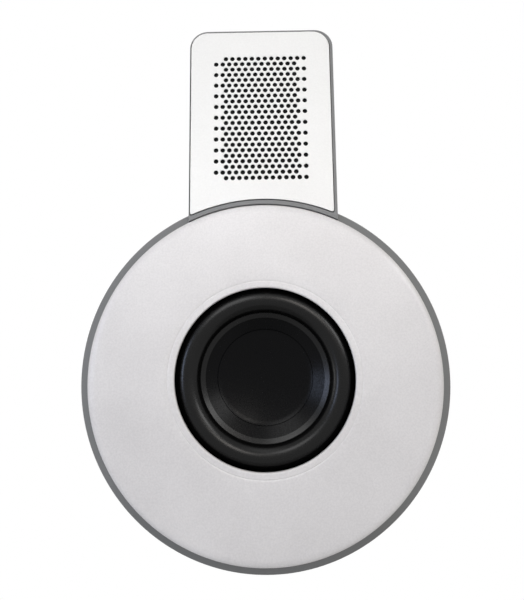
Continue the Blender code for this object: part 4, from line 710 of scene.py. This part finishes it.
def flexes(made, still_radius, moving_radius):
    """Lets a ring flex between the case and the woofer's moving parts, by its radius."""
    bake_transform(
        made,
        "case",
        "woofer_moving",
        start=at(still_radius, 0, RUBBER_MIDDLE),
        end=at(moving_radius, 0, RUBBER_MIDDLE),
    )
    weights = made.data.attributes["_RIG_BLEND"].data
    for vertex, weight in zip(made.data.vertices, weights):
        radius = math.hypot(vertex.co.x, vertex.co.z)
        share = (still_radius - radius) / (still_radius - moving_radius)
        share = min(max(share, 0), 1)
        weight.value = share * share * (3 - 2 * share)


def cone_depth(radius):
    return RUBBER_MIDDLE + 0.0010 + (ROLL_INNER - radius) * CONE_SLOPE


def driver_cone(finish):
    """Shallow straight cone, its outer edge under the roll's lip."""
    radii = [0.0133 + (0.0345 - 0.0133) * i / 16 for i in range(17)]
    front = [(radius, cone_depth(radius)) for radius in radii]
    back = [(radius, depth + CONE_SHEET) for radius, depth in reversed(front)]
    piece(
        "driver_cone",
        turned(front + back),
        finish,
        ["woofer_cone"],
        "woofer_moving",
    )


def dust_cap(finish):
    """Dished cap, hollow towards the listener, with a narrow rim that lies on the cone."""
    inner = CAP_RADIUS - CAP_RIM
    rim = cone_depth(inner) - 0.0005
    dish = [(inner * i / 20, rim + CAP_DISH * (1 - (i / 20) ** 2)) for i in range(21)]
    edge = cone_depth(CAP_RADIUS)
    front = dish + [(CAP_RADIUS - 0.0002, edge - 0.00038), (CAP_RADIUS, edge - 0.00020)]
    seat = [(CAP_RADIUS, edge - 0.00005), (inner, cone_depth(inner) - 0.00005)]
    back = [(radius, depth + CONE_SHEET) for radius, depth in reversed(dish[:-1])]
    piece(
        "dust_cap",
        turned(front + seat + back),
        finish,
        ["woofer_dust_cap"],
        "woofer_moving",
    )


def centring_spider(finish):
    """Pressed cloth with even waves, from its landing on the basket up to the cone's neck."""
    neck, landing, outer = 0.0136, 0.0288, 0.0322
    landing_depth = rear_of("woofer_spider") - 0.00025
    line = [(neck, landing_depth - 0.0032)]
    for i in range(1, 36):
        share = i / 36
        wave = 0.0009 * math.sin(share * 6 * math.pi) * min(1, 8 * share, 8 * (1 - share))
        depth = landing_depth - 0.0032 * (1 - share) + wave
        line.append((neck + (landing - neck) * share, depth))
    line += [(landing, landing_depth), (outer, landing_depth)]
    made = piece(
        "centring_spider",
        turned(sheet_loop(line, 0.0005), 96),
        finish,
        ["woofer_spider"],
        body=None,
        sharp=60,
    )
    flexes(made, 0.0286, 0.0146)


# ------------------------------------------------------------------ finishes


def linear(code):
    """The linear colour of a six-digit sRGB hex value."""
    parts = [int(code[i : i + 2], 16) / 255 for i in (0, 2, 4)]
    parts = [c / 12.92 if c <= 0.04045 else ((c + 0.055) / 1.055) ** 2.4 for c in parts]
    return (*parts, 1.0)


def per_mm(size):
    """A pattern's scale for features of a size in millimetres."""
    return 1000 / size


WAVE_PERIOD = 0.314  # a wave pattern of scale 1 repeats after this length
NOISE_RANGE = {"From Min": 0.3, "From Max": 0.7}  # where most of a noise's values lie


def per_band(size):
    """A wave pattern's scale for bands of a spacing in millimetres."""
    return per_mm(size) * WAVE_PERIOD


def add(tree, kind, inputs=None, **settings):
    """Adds a node with its settings. An input takes a value, a socket or a node's output."""
    node = tree.nodes.new("ShaderNode" + kind)
    for name, value in settings.items():
        setattr(node, name, value)
    for key, value in (inputs or {}).items():
        named = [s for s in node.inputs if s.enabled and s.name == key]
        socket = node.inputs[key] if isinstance(key, int) else named[0]
        if isinstance(value, bpy.types.Node):
            value = next(s for s in value.outputs if s.enabled)
        if isinstance(value, bpy.types.NodeSocket):
            tree.links.new(value, socket)
        else:
            socket.default_value = value
    return node


def blank_finish(name):
    """A new material, its node tree, and the place on the piece for its patterns."""
    made = bpy.data.materials.new(name)
    made.use_nodes = True
    made.node_tree.nodes.clear()
    place = add(made.node_tree, "TexCoord").outputs["Object"]
    return made, made.node_tree, place


def complete(tree, share, dark, light, rough, relief, lift, skin, hollow=False):
    """Ends a finish: its colour runs from dark to light by share, its surface stands out by
    lift, in metres, where relief is high, or sinks in if it is hollow, and skin holds what
    is the same all over."""
    colour = add(tree, "Mix", {"Factor": share, "A": dark, "B": light}, data_type="RGBA")
    height = {"Strength": 1.0, "Distance": lift, "Height": relief}
    bump = add(tree, "Bump", height, invert=hollow)
    body = {"Base Color": colour, "Roughness": rough, "Normal": bump}
    shader = add(tree, "BsdfPrincipled", body | skin)
    add(tree, "OutputMaterial", {"Surface": shader})


def moulded(name, dark, light, grain, lift, gloss, ior, shine=0.5):
    """Moulded plastic or rubber: its colour drifts a little where the melt flowed, and the
    tool's texture, of a grain in millimetres, breaks up the gloss. Real tool textures are
    finer than these grains, which are drawn coarser so that they show."""
    made, tree, place = blank_finish(name)
    flow = add(tree, "TexNoise", {"Vector": place, "Scale": per_mm(22), "Detail": 3.0})
    bite = add(tree, "TexNoise", {"Vector": place, "Scale": per_mm(grain), "Detail": 2.0})
    spread = {"To Min": gloss - 0.05, "To Max": gloss + 0.05}
    rough = add(tree, "MapRange", {"Value": bite} | NOISE_RANGE | spread)
    skin = {"IOR": ior, "Specular IOR Level": shine}
    complete(tree, flow, linear(dark), linear(light), rough, bite, lift, skin)
    return made


def lacquered(name, dark, light, gloss, coat):
    """Sprayed lacquer: a fine sandy speckle from the spray, over slow clouds of colour, under
    a clear skin that flows out into faint waves, the orange peel."""
    made, tree, place = blank_finish(name)
    cloud = add(tree, "TexNoise", {"Vector": place, "Scale": per_mm(40), "Detail": 3.0})
    # the real speckle is finer than this, but then it couldn't be seen at this distance
    spray = add(tree, "TexNoise", {"Vector": place, "Scale": per_mm(0.9), "Detail": 2.0})
    peel = add(tree, "TexNoise", {"Vector": place, "Scale": per_mm(1.6), "Detail": 1.0})
    share = add(tree, "Math", {0: spray, 1: cloud}, operation="ADD")
    share = add(tree, "MapRange", {"Value": share, "From Min": 0.6, "From Max": 1.4})
    spread = {"To Min": gloss - 0.03, "To Max": gloss + 0.04}
    rough = add(tree, "MapRange", {"Value": spray} | NOISE_RANGE | spread)
    skin = {"IOR": 1.5, "Coat Weight": coat, "Coat Roughness": 0.25}
    complete(tree, share, linear(dark), linear(light), rough, peel, 0.000006, skin)
    return made


def woven(name, dark, light, thread, gloss, sheen=0.0):
    """Woven cloth: raised crossing threads, of a spacing in millimetres, with painted shade in
    the gaps between them and painted light on their crowns. Real threads lie closer than
    these, which are drawn further apart so that they show."""
    made, tree, place = blank_finish(name)
    threads = {"Vector": place, "Scale": per_band(thread), "Distortion": 0.6}
    warp = add(tree, "TexWave", threads, bands_direction="X").outputs["Fac"]
    weft = add(tree, "TexWave", threads, bands_direction="Z").outputs["Fac"]
    fuzz = add(tree, "TexNoise", {"Vector": place, "Scale": per_mm(0.3), "Detail": 2.0})
    height = add(tree, "Math", {0: warp, 1: weft}, operation="MULTIPLY")
    # the colour follows the threads' height: painted shade in the gaps, painted light on the crowns
    share = add(tree, "Math", {0: height, 1: fuzz, 2: 0.1}, operation="MULTIPLY_ADD")
    rough = add(tree, "MapRange", {"Value": fuzz, "To Min": gloss - 0.08, "To Max": gloss})
    skin = {"IOR": 1.5, "Sheen Weight": sheen}
    complete(tree, share, linear(dark), linear(light), rough, height, 0.0001, skin)
    return made


def foamed(name, dark, light):
    """Cut closed-cell foam: small pits all over, with painted shade in them, quite matt."""
    made, tree, place = blank_finish(name)
    cells = add(tree, "TexVoronoi", {"Vector": place, "Scale": per_mm(0.6)})
    depth = cells.outputs["Distance"]
    rough = add(tree, "MapRange", {"Value": depth, "To Min": 0.85, "To Max": 0.98})
    skin = {"IOR": 1.45}
    # painted shade: the colour darkens where the pits sink deepest
    complete(tree, depth, linear(light), linear(dark), rough, depth, 0.0001, skin, hollow=True)
    return made


def turned_metal(name, dark, light, gloss):
    """Turned or pressed metal under its plating: fine tool rings round the axis and a
    slightly cloudy tone, so that the highlights smear round."""
    made, tree, place = blank_finish(name)
    cloud = add(tree, "TexNoise", {"Vector": place, "Scale": per_mm(6), "Detail": 4.0})
    # real tool rings lie closer together, but then they couldn't be seen
    turns = {"Vector": place, "Scale": per_band(0.5), "Distortion": 1.5}
    rings = add(tree, "TexWave", turns, wave_type="RINGS", rings_direction="Y")
    spread = {"To Min": gloss - 0.06, "To Max": gloss + 0.08}
    rough = add(tree, "MapRange", {"Value": cloud} | NOISE_RANGE | spread)
    skin = {"Metallic": 1.0}
    complete(tree, cloud, linear(dark), linear(light), rough, rings, 0.000004, skin)
    return made


def sintered(name, dark, light, grain, gloss):
    """Pressed and fired ceramic, ground flat: a dense grain with small chipped pits. The
    grain is drawn coarser than the real one, which couldn't be seen."""
    made, tree, place = blank_finish(name)
    grains = add(tree, "TexNoise", {"Vector": place, "Scale": per_mm(grain), "Detail": 4.0})
    chips = add(tree, "TexVoronoi", {"Vector": place, "Scale": per_mm(2.5)})
    chip_range = {"From Min": 0.02, "From Max": 0.12}
    pits = add(tree, "MapRange", {"Value": chips.outputs["Distance"]} | chip_range)
    rough = add(tree, "MapRange", {"Value": grains, "To Min": gloss, "To Max": gloss + 0.2})
    height = add(tree, "Math", {0: pits, 1: grains, 2: 0.3}, operation="MULTIPLY_ADD")
    skin = {"IOR": 1.7}
    complete(tree, grains, linear(dark), linear(light), rough, height, 0.00005, skin)
    return made


def wound(name, dark, light, wire):
    """Enamelled copper wire wound in layers: close parallel turns, of a pitch in millimetres,
    with a painted highlight line on each and painted shade between them, under amber enamel."""
    made, tree, place = blank_finish(name)
    winding = {"Vector": place, "Scale": per_band(wire), "Distortion": 0.3}
    turns = add(tree, "TexWave", winding, bands_direction="Y").outputs["Fac"]
    enamel = add(tree, "TexNoise", {"Vector": place, "Scale": per_mm(4), "Detail": 2.0})
    # painted highlight and painted shade: the colour runs dark between the turns and light along each one
    share = add(tree, "Math", {0: turns, 1: enamel}, operation="MULTIPLY")
    rough = add(tree, "MapRange", {"Value": enamel, "To Min": 0.25, "To Max": 0.45})
    skin = {"Metallic": 1.0, "Coat Weight": 0.4}
    complete(tree, share, linear(dark), linear(light), rough, turns, 0.0001, skin)
    return made


def etched_board(name):
    """Glass-fibre board under green solder mask: broad copper areas show through as a
    lighter green, parted by dark etched lines, over the weave of the glass."""
    made, tree, place = blank_finish(name)
    areas = add(
        tree,
        "TexVoronoi",
        {"Vector": place, "Scale": per_mm(11), "Randomness": 0.8},
        feature="DISTANCE_TO_EDGE",
        distance="EUCLIDEAN",
    )
    etched = {"From Min": 0.05, "From Max": 0.08}
    copper = add(tree, "MapRange", {"Value": areas.outputs["Distance"]} | etched)
    weave = add(tree, "TexChecker", {"Vector": place, "Scale": per_mm(1.2)})
    mask = {"Factor": copper, "A": linear("0E3B22"), "B": linear("1F6B3C")}
    green = add(tree, "Mix", mask, data_type="RGBA")
    rough = add(tree, "MapRange", {"Value": copper, "To Min": 0.5, "To Max": 0.32})
    cloth, skin = weave.outputs["Color"], {"IOR": 1.55}
    complete(tree, 0.06, green, cloth, rough, copper, 0.00004, skin)
    return made


def wrapped_film(name, dark, light, wrap):
    """Polyester tape or foil wrapped round and round: thin overlap lines at a spacing in
    millimetres and a smooth, slightly wrinkled gloss."""
    made, tree, place = blank_finish(name)
    overlaps = {"Vector": place, "Scale": per_band(wrap), "Distortion": 0.8}
    laps = add(tree, "TexWave", overlaps, bands_direction="DIAGONAL", wave_profile="SAW")
    wrinkle = add(tree, "TexNoise", {"Vector": place, "Scale": per_mm(3), "Detail": 3.0})
    rough = add(tree, "MapRange", {"Value": wrinkle, "To Min": 0.22, "To Max": 0.42})
    share, skin = laps.outputs["Fac"], {"IOR": 1.6}
    complete(tree, share, linear(dark), linear(light), rough, wrinkle, 0.00006, skin)
    return made


def dress(finish, *nodes):
    """Gives CAD nodes whose shape stays a finish in all their material slots."""
    for name in nodes:
        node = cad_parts[name]
        for place in node.material_slots:
            place.material = finish


# ------------------------------------------------------------------ studio


def softbox(name, place, aim, width, height, watts, colour):
    light = bpy.data.lights.new(name, "AREA")
    light.shape = "RECTANGLE"
    light.size, light.size_y = width, height
    light.energy = watts
    light.color = linear(colour)[:3]
    lamp = bpy.data.objects.new(name, light)
    lamp.location = place
    lamp.rotation_euler = (Vector(aim) - Vector(place)).to_track_quat("-Z", "Y").to_euler()
    lamp.visible_camera = False
    SCENE.collection.objects.link(lamp)


def towards(turn, rise):
    """The way out from the face, by degrees to the right of straight ahead and degrees up."""
    turn, rise = math.radians(turn), math.radians(rise)
    ahead = -math.cos(turn) * math.cos(rise)
    return Vector((math.sin(turn) * math.cos(rise), ahead, math.sin(rise)))


def white_rays(tree):
    """1 for the rays that show the white background: the eye's own, and those mirrored in
    the pieces or let through them. It is 0 for the rays that only light the object."""
    rays = add(tree, "LightPath").outputs
    by_a_piece = {0: rays["Is Glossy Ray"], 1: rays["Is Transmission Ray"]}
    passed_on = add(tree, "Math", by_a_piece, operation="MAXIMUM")
    return add(tree, "Math", {0: rays["Is Camera Ray"], 1: passed_on}, operation="MAXIMUM")


FRONT_LIGHT, BACK_LIGHT = 0.19, 0.35  # of the sweep, from before the wall and behind it


def studio():
    """A small lamp close to the tab keeps it white. The broad one at the right is the key, so
    that the face's rolled edge darkens at the left. A tall strip and a cool window at the left
    draw the highlights in the driver, and one lamp reaches the back."""
    centre = Vector(at(0, 0.02, 0))
    tab = Vector(at(-0.05, 0.10, 0))
    softbox("near_key", tab + Vector((-0.03, -0.25, 0.06)), tab, 0.12, 0.12, 0.205, "FFFFFF")
    softbox("top_fill", centre + towards(0, 60) * 0.9, centre, 0.4, 0.4, 0.5, "FFFFFF")
    softbox("right_fill", centre + towards(40, 20) * 0.9, centre, 0.3, 0.3, 1.85, "FFFFFF")
    softbox("left_graze", centre + towards(-74, 0) * 0.9, centre, 0.06, 0.4, 0.7, "FFFFFF")
    softbox("window", centre + towards(-44, 3) * 0.9, centre, 0.12, 0.30, 1.4, "CDDDFF")
    softbox("warm_lamp", centre + towards(14, 21) * 0.7, centre, 0.20, 0.20, 0.95, "FFF9F3")
    softbox("wall_side", Vector((0.15, 0.45, 0.15)), centre, 0.3, 0.3, 0.7, "FFFFFF")
    world = bpy.data.worlds.new("white_sweep")
    SCENE.world = world
    world.use_nodes = True
    tree = world.node_tree
    tree.nodes.clear()
    way = add(tree, "SeparateXYZ", {"Vector": add(tree, "TexCoord").outputs["Generated"]})
    sweep = add(
        tree,
        "MapRange",
        {
            "Value": way.outputs["Y"],
            "From Min": -0.15,
            "From Max": 0.15,
            "To Min": FRONT_LIGHT,
            "To Max": BACK_LIGHT,
        },
        interpolation_type="SMOOTHSTEP",
    )
    strength = add(tree, "Math", {0: white_rays(tree), 1: sweep}, operation="MAXIMUM")
    sky = add(tree, "Background", {"Color": linear("FFFFFF"), "Strength": strength})
    add(tree, "OutputWorld", {"Surface": sky})


def floor_finish():
    """Pale matt floor that takes the object's shadow and turns to plain white further off."""
    made, tree, place = blank_finish("floor_painted_white")
    far = add(tree, "VectorMath", {0: place}, operation="LENGTH").outputs["Value"]
    white = add(
        tree,
        "MapRange",
        {"Value": far, "From Min": 0.30, "From Max": 0.42, "To Min": 0.0, "To Max": 1.0},
    )
    speckle = add(tree, "TexNoise", {"Vector": place, "Scale": per_mm(60), "Detail": 2.0})
    colour = add(
        tree,
        "Mix",
        {"Factor": speckle, "A": linear("E6E6E4"), "B": linear("ECECEA")},
        data_type="RGBA",
    )
    matt = add(tree, "BsdfDiffuse", {"Color": colour, "Roughness": 0.6})
    glow = add(tree, "Emission", {"Color": linear("FFFFFF"), "Strength": 1.0})
    share = add(tree, "Math", {0: white, 1: white_rays(tree)}, operation="MULTIPLY")
    blend = add(tree, "MixShader", {0: share, 1: matt, 2: glow})
    add(tree, "OutputMaterial", {"Surface": blend})
    return made


def floor():
    shape = bmesh.new()
    bmesh.ops.create_grid(shape, x_segments=8, y_segments=8, size=4.0)
    made = loose("studio_floor", shape)
    made.location = (0, -0.03, -0.30)
    made.data.materials.append(floor_finish())


def camera():
    data = bpy.data.cameras.new("camera")
    data.lens = 33.6
    data.sensor_width = 36
    data.shift_x, data.shift_y = -0.005, -0.052
    data.dof.use_dof = False
    data.clip_start = 0.01
    made = bpy.data.objects.new("camera", data)
    turn = Matrix.Identity(3)
    for degrees, axis in ((-8.77, "X"), (-0.76, "Y"), (-0.61, "Z")):
        turn = Matrix.Rotation(math.radians(degrees), 3, axis) @ turn
    right, ahead, up = turn
    back = -Vector(ahead)
    basis = Matrix((right, up, back)).transposed()
    made.matrix_world = Matrix.Translation((0.0037, -0.3335, 0.0111)) @ basis.to_4x4()
    SCENE.collection.objects.link(made)
    SCENE.camera = made


# ------------------------------------------------------------------ assembly


# spark-eroded tool: a fine even grain that keeps the grey case matt, with no clear highlight
GREY_ABS = moulded("abs_grey_spark_textured", "6E6F6F", "747474", 0.5, 0.00003, 0.5, 1.53)
# plain tool: small black fittings with a dull, slightly uneven shine
BLACK_ABS = moulded("abs_black_moulded", "1A1A1C", "202022", 0.6, 0.00002, 0.45, 1.53)
# pressed in a polished tool: the roll is deep black and shows one soft band of light
BUTYL = moulded("butyl_rubber_moulded", "050505", "080808", 0.4, 0.000006, 0.25, 1.52, 0.2)
# hot-pressed sheet: almost black, its light gathers in a narrow wedge down the cone
CONE_PP = moulded(
    "polypropylene_black_pressed", "030304", "060607", 0.8, 0.000005, 0.26, 1.49, 0.08
)
# sprayed and left to flow out: a warm pale grey face, satin, brighter where it rolls over
PEARL = lacquered("lacquer_pale_sprayed", "D4D1D0", "E5E2E1", 0.38, 0.1)
# sprayed: a cleaner white than the face, satin, so that the holes read as crisp dots
WHITE = lacquered("lacquer_white_sprayed", "E7E6E3", "EFEEEB", 0.4, 0.1)

# glossy tool: the terminal block's strong green, the one bright spot on the board
TERMINAL_GREEN = moulded("polyamide_green_moulded", "1E5A35", "24663E", 0.6, 0.00002, 0.42, 1.53)
# drawn through a die: soft grey cord, quite matt
SEAL_GREY = moulded("epdm_grey_extruded", "5C5C5F", "646467", 0.5, 0.00002, 0.65, 1.5)
# drawn over the wire: smooth red skin with long soft highlights
LEAD_RED = moulded("pvc_red_extruded", "8E1616", "9A1D1B", 0.9, 0.00001, 0.4, 1.53)
# plain weave, dyed: a light trap, so that the holes in front of it look black
TWEETER_CLOTH = woven("polyester_black_woven", "030303", "0E0E0E", 0.5, 0.95)
# soaked in resin and pressed in rings: amber cloth, dry, its weave still plain to see
SPIDER_CLOTH = woven("cotton_amber_pressed", "7A5420", "B58A45", 0.6, 0.85, 0.2)
# fine weave under a damping coat: dark and a little silky
SILK = woven("silk_coated_woven", "0C0C0E", "1C1C20", 0.35, 0.6, 0.1)
# sliced from a block: open pits that keep it dull
FOAM = foamed("polyethylene_foam_cut", "0A0A0A", "242424")
# turned and zinc plated: cool bright grey with fine tool rings
STEEL = turned_metal("steel_zinc_plated", "B9BDC2", "D0D3D6", 0.36)
# cold headed: warm bright screw heads that catch the light
STAINLESS = turned_metal("steel_stainless_pressed", "BDBBB7", "CFCDC9", 0.3)
# fired and ground: dense dark grey with small chips at the surface
FERRITE = sintered("ferrite_black_ground", "2B2B2E", "3C3C40", 0.4, 0.5)
# fired: chalky white block
CERAMIC = sintered("ceramic_white_fired", "D8D5CC", "E8E5DC", 0.5, 0.6)
# close turns under enamel: orange wire, with a painted highlight line on each turn and
# painted shade between turns. Real wire is finer than this; the turns are drawn 0.5 mm
# apart so that they can be seen
COPPER = wound("copper_enamelled_wound", "7A3416", "C9713A", 0.5)
# etched and masked: green islands of copper parted by dark lines
BOARD = etched_board("glass_fibre_green_masked")
# wrapped: glossy yellow with faint overlap lines
CAPACITOR = wrapped_film("polyester_yellow_wrapped", "C79410", "DBAA22", 6.0)
# wrapped: thin amber film, glossy and a little wrinkled
FORMER = wrapped_film("polyimide_amber_wrapped", "7C4A1A", "9C6428", 4.0)

case_shell(GREY_ABS)
face_disc(PEARL)
perforated_plate(WHITE)
back_plate(GREY_ABS)
for number, (screw_x, screw_up) in enumerate(boss_centres(), start=1):
    case_screw(number, screw_x, screw_up, STAINLESS)
gland_pieces(BLACK_ABS, BUTYL)
vent(BLACK_ABS)
rubber_roll(BUTYL)
driver_cone(CONE_PP)
dust_cap(CONE_PP)
centring_spider(SPIDER_CLOTH)

FOUR, TWO = range(1, 5), range(1, 3)
dress(BUTYL, *(f"disc_grommet_{n}" for n in FOUR))
dress(FOAM, "cover_tape", "woofer_gasket")
dress(TWEETER_CLOTH, "acoustic_cloth")
dress(SEAL_GREY, "back_seal")
dress(BLACK_ABS, "woofer_basket", "woofer_terminal", "tweeter_carrier")
dress(STAINLESS, *(f"woofer_screw_{n}" for n in FOUR), *(f"tweeter_screw_{n}" for n in FOUR))
dress(STAINLESS, *(f"board_screw_{n}" for n in TWO))
dress(STEEL, "woofer_top_plate", "woofer_yoke", "tweeter_top_plate", "tweeter_yoke")
dress(FERRITE, "woofer_magnet", "tweeter_magnet")
dress(COPPER, "woofer_coil_winding", "tweeter_coil", "crossover_inductor")
dress(FORMER, "woofer_coil_former")
dress(SILK, "tweeter_dome", "tweeter_suspension")
dress(BOARD, "crossover_board")
dress(CAPACITOR, "crossover_capacitor")
dress(CERAMIC, "crossover_resistor")
dress(TERMINAL_GREEN, "terminal_block")
dress(LEAD_RED, "woofer_lead", "tweeter_lead")

camera()
studio()
floor()

SCENE.view_settings.view_transform = "Standard"
